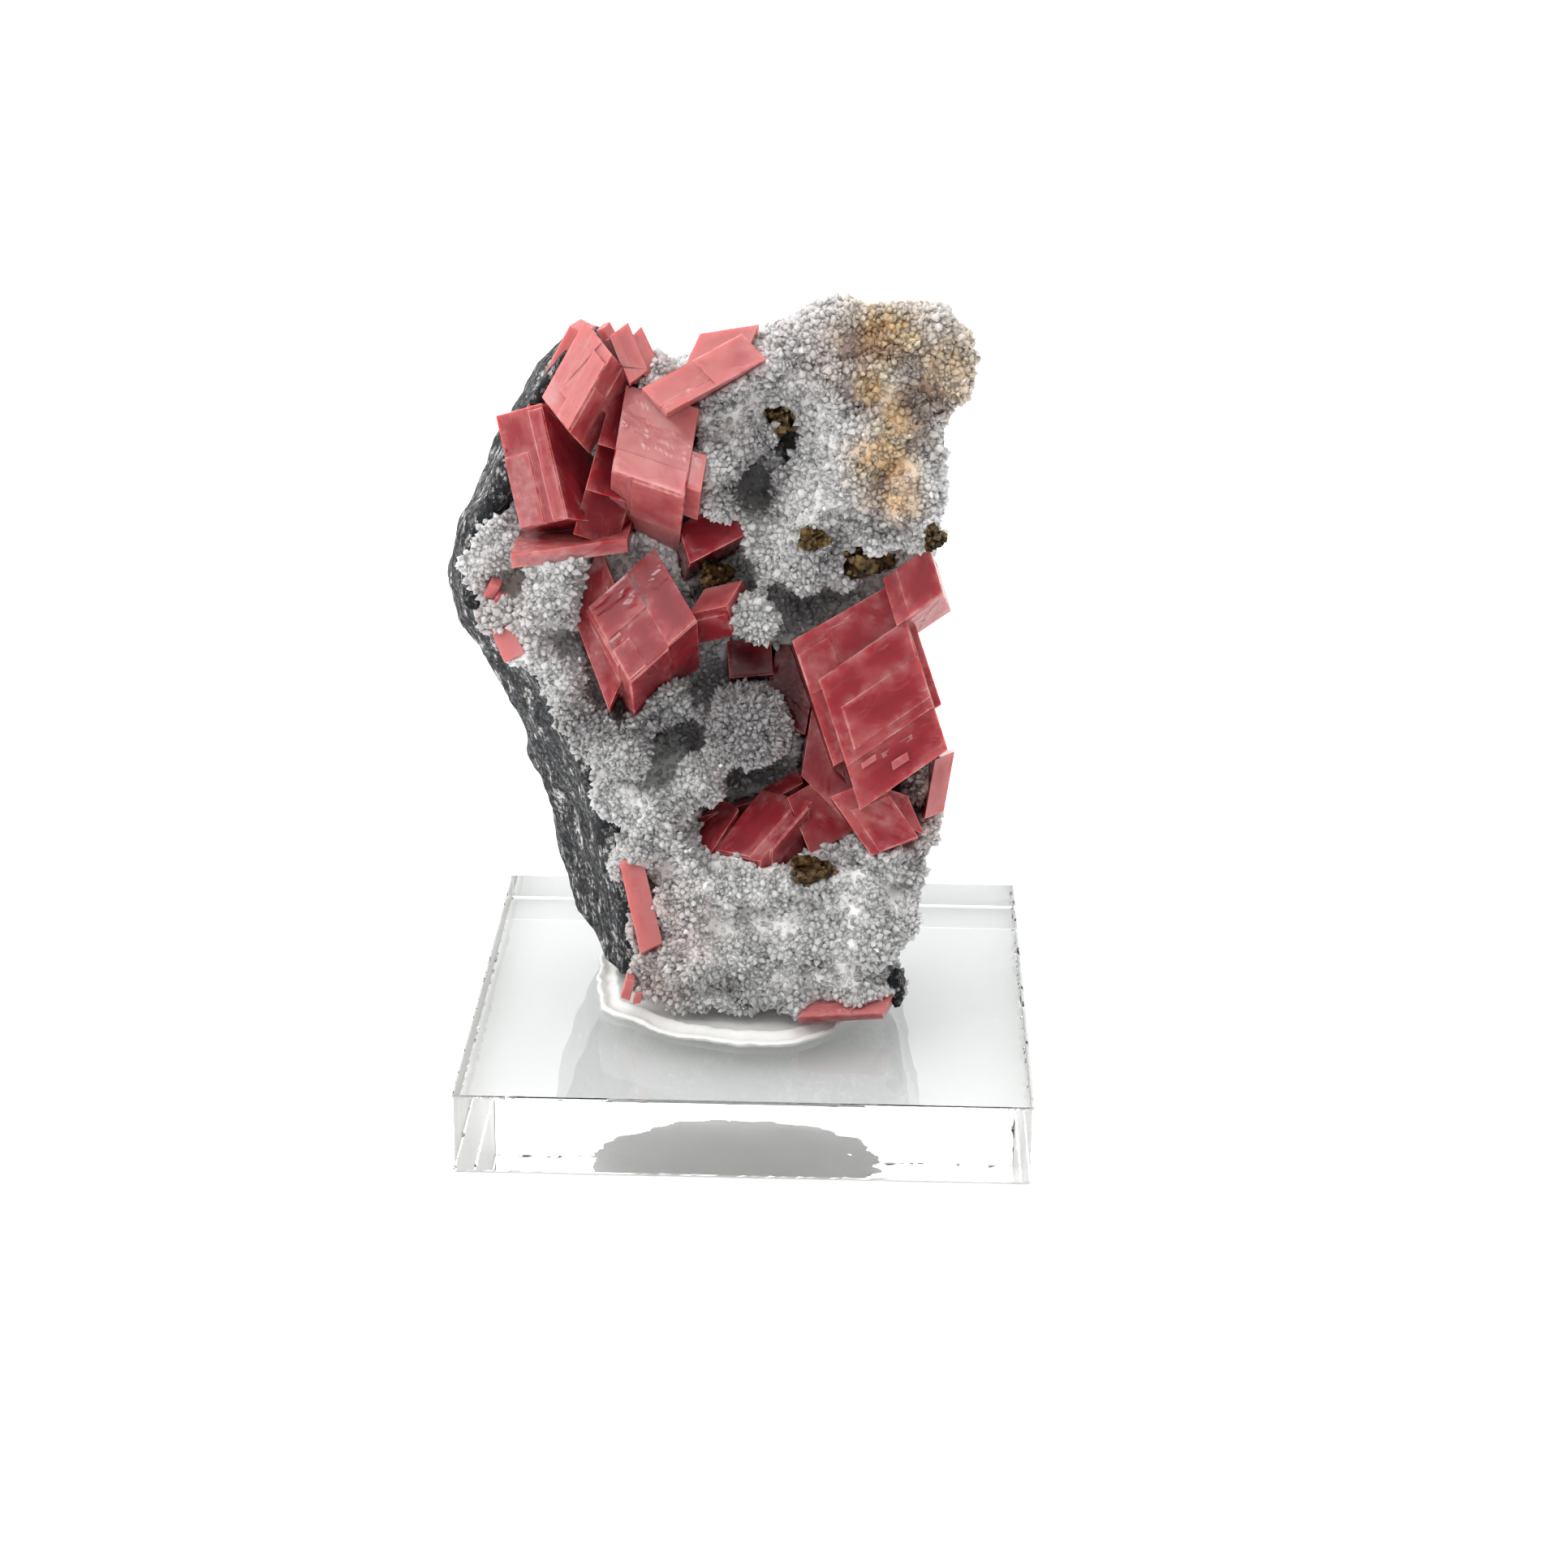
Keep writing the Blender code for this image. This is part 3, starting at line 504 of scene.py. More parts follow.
# How pale each crystal is, 0 deep crimson to 1 pale salmon, on the faces that look these ways. Partly the
# crystal's own paleness and partly painted light and shade: faces turned up and to the upper left are paler,
# faces turned down are deeper
SIDES = {
    "left": Vector((-1, -0.35, 0.1)), "front": Vector((0, -1, 0)), "right": Vector((1, -0.35, 0)),
    "up": Vector((0, -0.45, 1)), "down": Vector((0.1, -0.5, -1)),
}
PALENESS_AND_PAINTED_LIGHT = {
    "rhomb_upper_left": {"left": 0.95, "front": 0.85, "right": 0.64, "up": 0.95, "down": 0.5},
    "splinters_upper_left": {"left": 0.9, "front": 0.9, "right": 0.8, "up": 1.0, "down": 0.8},
    "rhomb_left": {"left": 0.62, "front": 0.6, "right": 0.36, "up": 0.65, "down": 0.3},
    "rhomb_tall": {"left": 0.6, "front": 0.9, "right": 0.6, "up": 1.0, "down": 0.73},
    "blade_top": {"left": 0.9, "front": 0.9, "right": 0.9, "up": 0.95, "down": 0.7},
    "rhomb_central": {"left": 0.6, "front": 0.46, "right": 0.37, "up": 0.46, "down": 0.36},
    # Painted shade: this shaded rhomb and the rhombs in the hollow further down are given deep tones
    "rhomb_shaded": {"left": 0.2, "front": 0.22, "right": 0.2, "up": 0.42, "down": 0.1},
    "rhomb_small": {"left": 0.5, "front": 0.7, "right": 0.6, "up": 0.7, "down": 0.4},
    "rhombs_right": {"left": 0.25, "front": 0.5, "right": 0.66, "up": 0.46, "down": 0.62},
    "rhombs_hollow_foot": {"left": 0.3, "front": 0.3, "right": 0.45, "up": 0.42, "down": 0.12},
    "rhombs_hollow_wall": {"left": 0.1, "front": 0.12, "right": 0.1, "up": 0.15, "down": 0.02},
    "rhomb_lower_left": {"left": 0.95, "front": 1.0, "right": 0.9, "up": 1.0, "down": 0.8},
    "rhomb_foot": {"left": 0.7, "front": 1.0, "right": 0.9, "up": 0.95, "down": 0.6},
    "rhomb_left_edge": {"left": 1.0, "front": 1.0, "right": 0.9, "up": 1.0, "down": 0.9},
    "rhomb_right_edge": {"left": 0.6, "front": 0.7, "right": 0.8, "up": 0.8, "down": 0.5},
}
# How strongly the growth stripes show, and how much of the faces is broken into cleavage flakes
STRIPED = {
    "rhomb_upper_left": {"left": 0.35, "up": 0.35},
    "splinters_upper_left": {"front": 0.5, "up": 0.5},
    "rhomb_left": {"left": 0.3, "front": 0.3},
    "blade_top": {"up": 0.25},
    "rhomb_foot": {"front": 0.5, "up": 0.5},
}
LEAST_STRIPED = 0.12
FLAKED = {
    "rhomb_left": 1.0, "rhomb_central": 1.0, "rhomb_foot": 1.0, "rhomb_upper_left": 0.5, "rhombs_right": 0.5,
}
LEAST_FLAKED = 0.3
# Frosted patches on the display side: (x, z, half width, half height, strength)
FROST_SPOTS = [
    (-17.7, 64.8, 1.2, 1.7, 0.9), (-18.0, 49.3, 6.0, 1.6, 0.6), (5.6, 41.5, 0.9, 1.2, 0.2),
    (-13.5, 39.0, 0.7, 5.0, 0.3), (-20.0, 53.5, 1.5, 5.0, 0.5), (2.0, 69.5, 3.0, 1.2, 0.4),
]
# How raggedly the frost ends: where it starts, how fast it fades, and the noise's strength and repeats
FROST_START, FROST_FADE, FROST_RAGGED, FROST_REPEATS = 2.6, 2.2, 0.9, 1.1
DEEP, MIDDLE, PALE = (0.05, 0.001, 0.003), (0.25, 0.018, 0.026), (0.48, 0.155, 0.15)
FROST = (0.50, 0.28, 0.275)
RUBBED_RED, RUBBED_PINK = (0.32, 0.02, 0.025), (0.55, 0.22, 0.20)


def facets_of(bm):
    """Sorts the flat faces into facets: the faces in one plane and the facet's two main directions."""
    facets = {}
    bm.edges.index_update()
    for face in bm.faces:
        if face.material_index == 0:
            level = round(face.normal.dot(face.verts[0].co) / (PLANE_SPACING * MM))
            facets.setdefault((*(round(c, 1) for c in face.normal), level), []).append(face)
    found = []
    for faces in facets.values():
        runs = []
        inside = set(faces)
        for edge in sorted({e for face in faces for e in face.edges}, key=lambda e: e.index):
            if all(face in inside for face in edge.link_faces):
                continue
            run = edge.verts[1].co - edge.verts[0].co
            for known in runs:
                if abs(known.normalized().dot(run.normalized())) > SAME_RUN:
                    known += run * math.copysign(1.0, known.dot(run))
                    break
            else:
                runs.append(run.copy())
        runs.sort(key=lambda run: -run.length)
        if not runs:
            runs.append(faces[0].edges[0].verts[1].co - faces[0].edges[0].verts[0].co)
        second = runs[1] if len(runs) > 1 else faces[0].normal.cross(runs[0])
        found.append((faces, runs[0].normalized(), second.normalized()))
    return found


def shade_facets(bm, paleness_and_painted_light, striped):
    """Writes each facet's tone, with painted light and shade by the way the facet faces, its stripes, and
    its own coordinates in millimetres along its two edges.
    """
    tone_and_painted_light, stripes = (bm.faces.layers.float.new(name) for name in ("tone_and_painted_light", "striped"))
    along = bm.loops.layers.uv.new("facet")
    for number, (faces, first, second) in enumerate(facets_of(bm)):
        normal = faces[0].normal
        side = max(SIDES, key=lambda s: SIDES[s].normalized().dot(normal))
        slant = first.dot(second)
        for face in faces:
            face[tone_and_painted_light] = paleness_and_painted_light[side]
            face[stripes] = striped.get(side, LEAST_STRIPED)
            for loop in face.loops:
                spot = loop.vert.co / MM
                b = (spot.dot(second) - slant * spot.dot(first)) / (1.0 - slant * slant)
                a = spot.dot(first) - slant * b
                loop[along].uv = (a + FACET_SHIFT[0] * number, b + FACET_SHIFT[1] * number)


def split_long_edges(bm, longest):
    """Halves the facets' edges until none is longer than this."""
    for _ in range(MOST_HALVINGS):
        faces = [f for f in bm.faces if f.material_index == 0]
        bmesh.ops.triangulate(bm, faces=[f for f in faces if len(f.verts) > 3])
        bm.edges.index_update()
        edges = {e for f in bm.faces if f.material_index == 0 for e in f.edges}
        edges = sorted((e for e in edges if e.calc_length() > longest * MM), key=lambda e: e.index)
        if not edges:
            return
        bmesh.ops.subdivide_edges(bm, edges=edges, cuts=1)


def stepped(value):
    """Flat treads with short risers between them."""
    tread = math.floor(value)
    return tread + min(1.0, (value - tread) * RISER)


def frost_at(spot):
    """How frosted the display side is at this point in millimetres, 0 to 1."""
    ragged = FROST_RAGGED * noise.noise(spot * FROST_REPEATS)
    covers = [0.0]
    for x, z, half_width, half_height, strength in FROST_SPOTS:
        away = math.hypot((spot.x - x) / half_width, (spot.z - z) / half_height)
        covers.append(strength * min(1.0, max(0.0, FROST_START - FROST_FADE * away + ragged)))
    return max(covers)


def facet_noise(a, b, pattern):
    """Noise at a place on a facet, drawn out along its edges."""
    return noise.noise(Vector((a * pattern[0], b * pattern[1], pattern[2])))


def grow_steps(bm, flaked):
    """Sinks parts of each facet by thin growth steps and by cleaved flakes; its rim stays in place."""
    along = bm.loops.layers.uv["facet"]
    glow, frost = (bm.verts.layers.float.new(name) for name in ("rim", "frost"))
    moves = {}
    for vert in bm.verts:
        vert[frost] = frost_at(vert.co / MM)
        normals = [f.normal for f in vert.link_faces]
        bent = any(n.dot(normals[0]) < SAME_PLANE for n in normals)
        if bent or any(f.material_index for f in vert.link_faces):
            vert[glow] = 1.0
            continue
        a, b = vert.link_loops[0][along].uv
        bands = LONG_STEPS * facet_noise(a, b, LONG_BANDS) + CROSS_STEPS * facet_noise(a, b, CROSS_BANDS)
        worn = min(1.0, max(0.0, WORN_CONTRAST * facet_noise(a, b, WORN_PARTS) - WORN_LEAST))
        waver = facet_noise(a, b, FLAKE_WAVER)
        flake_place = (a / FLAKE_SIZE[0] + waver, b / FLAKE_SIZE[1] + waver, FLAKE_LAYER)
        flake = worn * noise.cell(Vector(flake_place))
        moves[vert] = (normals[0].copy(), STEP_DEPTH * (stepped(bands) - 1.0) - FLAKE_DEPTH * flake)
    fixed = [v.co.copy() for v in bm.verts if v not in moves]
    rim = KDTree(len(fixed))
    for i, spot in enumerate(fixed):
        rim.insert(spot, i)
    rim.balance()
    for vert, (normal, level) in moves.items():
        away = rim.find(vert.co)[2] / MM
        vert[glow] = math.exp(-away / RIM_GLOW)
        vert.co += normal * min(0.0, level) * min(1.0, away / STEP_FADE) * flaked * MM


def swell(bm, amount):
    """Moves every face of a flat-faced solid outward by this much, so that its corners stay sharp."""
    moves = []
    for vert in bm.verts:
        normals = []
        for face in sorted(vert.link_faces, key=lambda f: -f.calc_area()):
            if all(face.normal.dot(known) < SAME_FACE for known in normals):
                normals.append(face.normal.copy())
        normals = normals[:3]
        move = np.linalg.lstsq(np.array(normals), np.full(len(normals), amount), rcond=LEAST_BEND)[0]
        moves.append(Vector(move) * min(1.0, MOST_SWELL * amount / np.linalg.norm(move)))
    for vert, move in zip(bm.verts, moves):
        vert.co += move


def stripes_group():
    """Noise drawn out along the facet's main edge: growth stripes, 0 to 1."""
    group, given = new_mask_group("facet stripes", {"Across": 2.0, "Along": 0.15, "Low": 0.4, "High": 0.6})
    facet = put(group, "ShaderNodeUVMap", uv_map="facet").outputs["UV"]
    pair = put(group, "ShaderNodeCombineXYZ", {"X": given["Along"], "Y": given["Across"], "Z": 1.0})
    drawn = put(group, "ShaderNodeVectorMath", {0: facet, 1: pair.outputs["Vector"]}, operation="MULTIPLY")
    texture = put(group, "ShaderNodeTexNoise", {
        "Vector": drawn.outputs["Vector"],
        "Scale": 1.0,
        "Detail": 4.0,
        "Roughness": 0.6,
    })
    mask = put_range(group, texture.outputs["Fac"], from_min=given["Low"], from_max=given["High"])
    put(group, "NodeGroupOutput", {"Value": mask})
    return group


STRIPES = stripes_group()


def put_stripes(tree, across, along, low, high):
    """Places the group of growth stripes; across and along are in repeats per millimetre."""
    values = {"Across": across, "Along": along, "Low": low, "High": high}
    return put(tree, "ShaderNodeGroup", values, node_tree=STRIPES).outputs["Value"]


def put_math(tree, operation, first, second):
    """A sum or product of sockets and numbers."""
    return put(tree, "ShaderNodeMath", {0: first, 1: second}, operation=operation).outputs["Value"]


def put_stored(tree, name):
    """Reads a mask that is stored on the mesh."""
    return put(tree, "ShaderNodeAttribute", attribute_name=name).outputs["Fac"]


pink, pink_tree, pink_shader = new_material("rhodochrosite", {
    "IOR": 1.6,
    "Specular IOR Level": 0.28,
    "Subsurface Weight": 0.75,
    "Subsurface Radius": (1.0, 0.30, 0.28),
    "Subsurface Scale": 2.0 * MM,
})
tone_and_painted_light, striped, rim, frost = (put_stored(pink_tree, name) for name in ("tone_and_painted_light", "striped", "rim", "frost"))
stripes = put_stripes(pink_tree, across=1.3, along=0.12, low=0.42, high=0.62)
stripes = put_math(pink_tree, "MULTIPLY", stripes, striped)
fine_stripes = put_stripes(pink_tree, across=4.0, along=0.3, low=0.45, high=0.68)
fine_stripes = put_math(pink_tree, "MULTIPLY", fine_stripes, striped)
veil = put_mottle(pink_tree, scale=0.30, low=0.42, high=0.70, detail=2.0)
cloud = put_mottle(pink_tree, scale=0.9, low=0.45, high=0.75)
# The face's tone with its painted light and shade, shifted a little by the stripes, the veil and the rim:
# (mask, its middle, strength)
varied = tone_and_painted_light
for mask, middle, strength in ((stripes, 0.2, 0.22), (veil, 0.3, 0.20), (rim, 0.3, 0.18)):
    shift = put_math(pink_tree, "MULTIPLY", put_math(pink_tree, "SUBTRACT", mask, middle), strength)
    varied = put_math(pink_tree, "ADD", varied, shift)
pink_tint = put_blend(pink_tree, put_range(pink_tree, varied, from_max=0.5), DEEP, MIDDLE)
pink_tint = put_blend(pink_tree, put_range(pink_tree, varied, from_min=0.5), pink_tint, PALE)
frost_grain = put_mottle(pink_tree, scale=1.4, low=0.38, high=0.62)
frost_spots = put_math(pink_tree, "MULTIPLY", frost, put_range(pink_tree, frost_grain, to_min=0.45))
frosty = put_math(pink_tree, "MULTIPLY", put_math(pink_tree, "MULTIPLY", fine_stripes, cloud), 0.35)
frosty = put_math(pink_tree, "MAXIMUM", frosty, frost_spots)
edge_wear = put_mottle(pink_tree, scale=0.8, low=0.45, high=0.7)
worn_edge = put_math(pink_tree, "MULTIPLY", put_range(pink_tree, rim, from_min=0.5, to_max=0.36), edge_wear)
frosty = put_math(pink_tree, "MAXIMUM", frosty, worn_edge)
pink_tint = put_blend(pink_tree, frosty, pink_tint, FROST)
pink_tree.links.new(pink_tint, pink_shader.inputs["Base Color"])
gloss = put_range(pink_tree, fine_stripes, to_min=0.22, to_max=0.45)
pink_tree.links.new(gloss, pink_shader.inputs["Roughness"])
put_bump(pink_tree, pink_shader, fine_stripes, 0.2, 0.05)

rubbed, rubbed_tree, rubbed_shader = new_material("rubbed rhodochrosite edge", {
    "Roughness": 0.3,
    "Subsurface Weight": 0.6,
    "Subsurface Radius": (1.0, 0.3, 0.25),
    "Subsurface Scale": 1.5 * MM,
})
wear = put_mottle(rubbed_tree, scale=0.8, low=0.35, high=0.65)
rubbed_tint = put_blend(rubbed_tree, wear, RUBBED_RED, RUBBED_PINK)
rubbed_tree.links.new(rubbed_tint, rubbed_shader.inputs["Base Color"])


def dress_crystal(crystal, paleness_and_painted_light, striped, flaked):
    """Rubs a flat-faced solid's edges, then gives its faces steps, stripes and tones, the tones carrying
    painted light and shade.
    """
    crystal.data.materials.clear()
    crystal.data.materials.append(pink)
    crystal.data.materials.append(rubbed)
    rub = crystal.modifiers.new("rub", "BEVEL")
    rub.width = EDGE_RUB * MM
    rub.segments = 1
    rub.limit_method = "ANGLE"
    rub.angle_limit = math.radians(RUBBED_ANGLE)
    rub.material = 1
    rub.use_clamp_overlap = False
    apply_modifiers(crystal)
    bm = bmesh.new()
    bm.from_mesh(crystal.data)
    shade_facets(bm, paleness_and_painted_light, striped)
    split_long_edges(bm, STEP_MESH)
    grow_steps(bm, flaked)
    bm.to_mesh(crystal.data)
    bm.free()
    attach(crystal, "root")


for node, paleness_and_painted_light in PALENESS_AND_PAINTED_LIGHT.items():
    crystal = copy_of_node(node, node + "_crystal")
    bm = bmesh.new()
    bm.from_mesh(crystal.data)
    swell(bm, CRYSTAL_SWELL * MM)
    bm.to_mesh(crystal.data)
    bm.free()
    dress_crystal(crystal, paleness_and_painted_light, STRIPED.get(node, {}), FLAKED.get(node, LEAST_FLAKED))
    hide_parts(node)

# ---- The small crystals between and beside the large ones -------------------------------------------
# Rhodochrosite too: thin plates, splinters and bits that grew against the large rhombs or out of the
# crust's edge, and the bars that stand out of the large right-hand face.

SMALL_STRIPED, SMALL_FLAKED = 0.3, 0.5
# Each group's paleness, and each crystal's corner with the three edges that leave it
SMALL_CRYSTALS = {
    "filling_left": (0.3, [
        (
            (-11.9 + 1.1 * i, -5.6, 50.6 + 4.0 * i),
            (1.35, 2.7, 5.0), (-3.6, -1.65, 1.6), (0.6, 2.4, -0.3),
        )
        for i in range(3)
    ]),
    "frosted_upper_left": (0.95, [
        ((-19.3, -2.9, 63.1), (3.3, 0.6, 6.2), (1.4, -0.4, -0.6), (0.8, 1.8, 0.2)),
        ((-20.7, -3.6, 60.6), (1.5, 0.5, 2.6), (0.9, -0.2, -0.5), (0.5, 1.5, 0.0)),
    ]),
    "splinters_between": (0.85, [
        (
            (-13.6 + 0.8 * i, -4.2 - 0.2 * i, 69.3 - 0.75 * i),
            (1.7, -0.3, -3.0), (0.65, 0.1, 0.25), (0.4, 1.6, 0.2),
        )
        for i in range(4)
    ]),
    "left_edge_growth": (1.0, [
        (
            (-23.6 + 0.55 * i, -5.4 - 0.2 * i, 45.9 - 1.15 * i),
            (0.7, -0.3, 1.3), (0.9, 0.3, -0.4), (0.1, 1.2, 0.3),
        )
        for i in range(5)
    ]),
    "bits_foot_left": (0.95, [
        ((-11.5, -10.2, 10.0), (0.5, 0.1, 1.9), (0.8, 0.0, -0.3), (0.0, 1.2, 0.1)),
        ((-10.4, -10.5, 9.5), (0.3, 0.0, 1.1), (0.7, 0.1, 0.1), (0.0, 1.2, 0.1)),
    ]),
    "bars_right": (0.72, [
        ((11.3, -11.9, 34.4), (2.65, 0.42, 1.80), (0.12, -0.14, -0.48), (0.0, 0.3, -0.08)),
        ((12.2, -12.4, 33.8), (1.41, 0.22, 0.95), (0.17, -0.20, -0.68), (0.0, 0.3, -0.08)),
        ((9.6, -12.3, 33.6), (1.24, 0.20, 0.84), (0.12, -0.14, -0.48), (0.0, 0.3, -0.08)),
    ]),
}

for name, (pale, shapes) in SMALL_CRYSTALS.items():
    bm = bmesh.new()
    for corner, *edges in shapes:
        corner, edges = Vector(corner), [Vector(e) for e in edges]
        cube = bmesh.ops.create_cube(bm, size=1.0)["verts"]
        for vert in cube:
            share = vert.co + Vector((0.5, 0.5, 0.5))
            vert.co = (corner + sum((edge * part for edge, part in zip(edges, share)), Vector())) * MM
        if edges[0].cross(edges[1]).dot(edges[2]) < 0:
            bmesh.ops.reverse_faces(bm, faces=list({f for v in cube for f in v.link_faces}))
    crystal = add_solid(name, bm)
    dress_crystal(crystal, dict.fromkeys(SIDES, pale), dict.fromkeys(SIDES, SMALL_STRIPED), SMALL_FLAKED)

# ---- The quartz crust ------------------------------------------------------------------------------
# A druse: quartz that grew over everything as a lumpy skin, bristling with clear six-sided needles that
# end in points. It is grey-white, smoky where it is thin, darker in the hollow and in spots by painted
# shade, whiter on its knobs and needle tips by painted light, pink beside the crystals by a painted
# reflection, and stained tan by iron at the upper right.

CRUST_VOXEL = 0.44
CRUST_KEPT = 0.5
CRUST_SHRINK = 1.85
CRUST_ROUGHNESS = (0.08, 1.1, 3)
CRUST_HANG = 0.4
# The knobs that cover it: (distance apart, height), and how wide each is against that distance
KNOBS, KNOB_WIDTH = ((5.0, 1.45), (2.2, 0.35)), 0.8
# The thin seam left beside the other pieces, how far it reaches, and how the crust fills out within it
CONTACT_GAP, CONTACT_REACH, CONTACT_GROWTH = 0.38, 1.1, 0.22
# Iron stain, smoky grey together with painted shade where the crust lies in shade, and a painted pink
# reflection of the crystals beside the quartz, as soft spots on the display side: (x, z, radius, strength)
IRON_SPOTS = [
    (11.0, 69.5, 3.2, 1.0), (15.5, 67.5, 3.6, 0.8), (9.8, 66.0, 2.2, 1.0), (12.2, 63.0, 2.6, 0.9),
    (11.0, 60.0, 2.6, 1.0), (12.0, 56.8, 2.2, 0.9), (17.0, 63.5, 1.6, 0.5), (14.0, 61.0, 1.6, 0.4),
]
SMOKE_AND_SHADE_SPOTS = [
    (0.0, 56.5, 2.8, 1.0), (0.8, 60.0, 2.2, 0.8), (2.4, 63.0, 2.0, 0.9), (-2.5, 49.5, 2.0, 0.9),
    (6.5, 51.0, 3.4, 0.6), (-0.5, 12.5, 2.4, 0.6), (3.2, 33.0, 6.5, 0.45), (-1.5, 40.0, 4.5, 0.6),
    (-1.0, 36.0, 5.5, 1.0), (-8.0, 35.0, 4.2, 0.95), (-14.5, 34.0, 3.6, 0.8),
]
PAINTED_PINK_REFLECTION_SPOTS = [
    (-7.5, 17.5, 4.0, 0.6), (-8.5, 11.5, 3.0, 0.7), (15.8, 27.5, 3.0, 0.8), (-21.5, 45.0, 3.0, 0.4),
    (6.0, 69.0, 3.0, 0.5), (0.0, 34.0, 4.5, 0.3),
]
SPOT_SOFTNESS, SPOT_RAGGED = 0.6, (0.35, 2.0, 3)
# The hollow between the crystals, where the crust is thin: painted shade darkens it the deeper it lies, in
# the smoke colour. Its lowest and highest corner, the depth at which the shade starts, the depth over which
# it thickens and its strength
HOLLOW_LOW, HOLLOW_HIGH = (-5.5, 25.0), (9.0, 46.0)
HOLLOW_FRONT, HOLLOW_DEPTH, HOLLOW_PAINTED_SHADE = -4.5, 3.0, 0.95
# The quartz's grey and white, blended as painted shade and light over the knobs, and its smoke colour, which
# also serves as painted shade
SKIN_GREY, SKIN_WHITE, SKIN_SMOKE_AND_SHADE = (0.46, 0.445, 0.44), (0.93, 0.92, 0.90), (0.10, 0.097, 0.095)
POINT_GREY, POINT_WHITE, POINT_SMOKE_AND_SHADE = (0.50, 0.485, 0.48), (0.99, 0.985, 0.97), (0.28, 0.27, 0.27)
# Painted light and shade: the shares of the knobs' full height up to which they are painted grey as shaded
# and from which they are painted white as lit
KNOB_SHADED_UP_TO, KNOB_LIT_FROM = 0.28, 0.58
# The pink that the quartz takes beside the red crystals, a painted reflection, and the white of the needles'
# tips, painted light
REFLECTED_PINK, PAINTED_TIP_LIGHT = (0.60, 0.42, 0.39), (0.9, 0.9, 0.9)
BROWN_STAIN, CREAM_STAIN = (0.22, 0.08, 0.015), (0.80, 0.51, 0.24)


def spots(points, places):
    """How strongly the soft spots cover each point, 0 to 1, with ragged edges."""
    ragged = relief(points, SPOT_RAGGED)
    cover = np.zeros(len(points))
    for x, z, radius, strength in places:
        away = np.hypot(points[:, 0] - x, points[:, 2] - z) / radius + ragged
        fading = (1 + SPOT_SOFTNESS - away) / (2 * SPOT_SOFTNESS)
        cover = np.maximum(cover, strength * np.clip(fading, 0, 1))
    return cover


def knobs(points):
    """Rounded knobs grown side by side, the small ones on the large ones: their height in millimetres."""
    height = np.zeros(len(points))
    for apart, rise in KNOBS:
        for i, point in enumerate(points):
            away = noise.voronoi(Vector(point) / apart)[0][0] / KNOB_WIDTH
            height[i] += rise * max(0.0, 1.0 - away ** 2)
    return height


def tree_of(pieces):
    """One search tree over the surfaces of several pieces, in metres."""
    corners, faces = [], []
    for piece in pieces:
        start = len(corners)
        corners += [v.co.copy() for v in piece.data.vertices]
        faces += [[start + i for i in p.vertices] for p in piece.data.polygons]
    return BVHTree.FromPolygons(corners, faces)


def room_around(points):
    """Each point's distance from the rock, the crystals and the grains."""
    return np.array([neighbours.find_nearest(Vector(p) * MM)[3] for p in points]) / MM


neighbour_names = [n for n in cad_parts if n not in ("quartz_crust", "acrylic_base", "mounting_putty")]
neighbours = tree_of([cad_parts[n] for n in neighbour_names])
crust_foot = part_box("quartz_crust")[0].z / MM
crust = copy_of_node("quartz_crust", "quartz_skin")
remesh(crust, CRUST_VOXEL, 2)
points, normals = read_points(crust.data), read_normals(crust.data)
room = room_around(points)
crest = knobs(points)
bare = np.clip((room - CONTACT_GAP) / CONTACT_REACH, 0, 1)
grown = crest - CRUST_SHRINK + relief(points, CRUST_ROUGHNESS)
shift = np.maximum((1 - bare) * CONTACT_GROWTH + bare * grown, CONTACT_GAP - room)
points += normals * shift[:, None]
points[:, 2] = np.maximum(points[:, 2], crust_foot - CRUST_HANG)
write_points(crust.data, points)
crust.data.shade_smooth()


def store(mesh, name, values):
    """Stores a number at each of the mesh's points for its material."""
    mesh.attributes.new(name, "FLOAT", "POINT").data.foreach_set("value", values.astype(np.float32))


# Painted shade in the hollow: darker the further back it lies
in_hollow = (points[:, 0] > HOLLOW_LOW[0]) & (points[:, 0] < HOLLOW_HIGH[0])
in_hollow &= (points[:, 2] > HOLLOW_LOW[1]) & (points[:, 2] < HOLLOW_HIGH[1])
hollow_painted_shade = HOLLOW_PAINTED_SHADE * np.clip((points[:, 1] - HOLLOW_FRONT) / HOLLOW_DEPTH, 0, 1)
# What the quartz's colour reads: the iron stain, smoke with painted shade, the painted pink reflection, and
# the knobs' height for painted light
stains_and_painted_light = {
    "iron": spots(points, IRON_SPOTS),
    "smoke_and_painted_shade": np.maximum(spots(points, SMOKE_AND_SHADE_SPOTS), np.where(in_hollow, hollow_painted_shade, 0)),
    "painted_pink_reflection": spots(points, PAINTED_PINK_REFLECTION_SPOTS),
    "crest": crest / sum(rise for _, rise in KNOBS),
}
for name, values in stains_and_painted_light.items():
    store(crust.data, name, values)


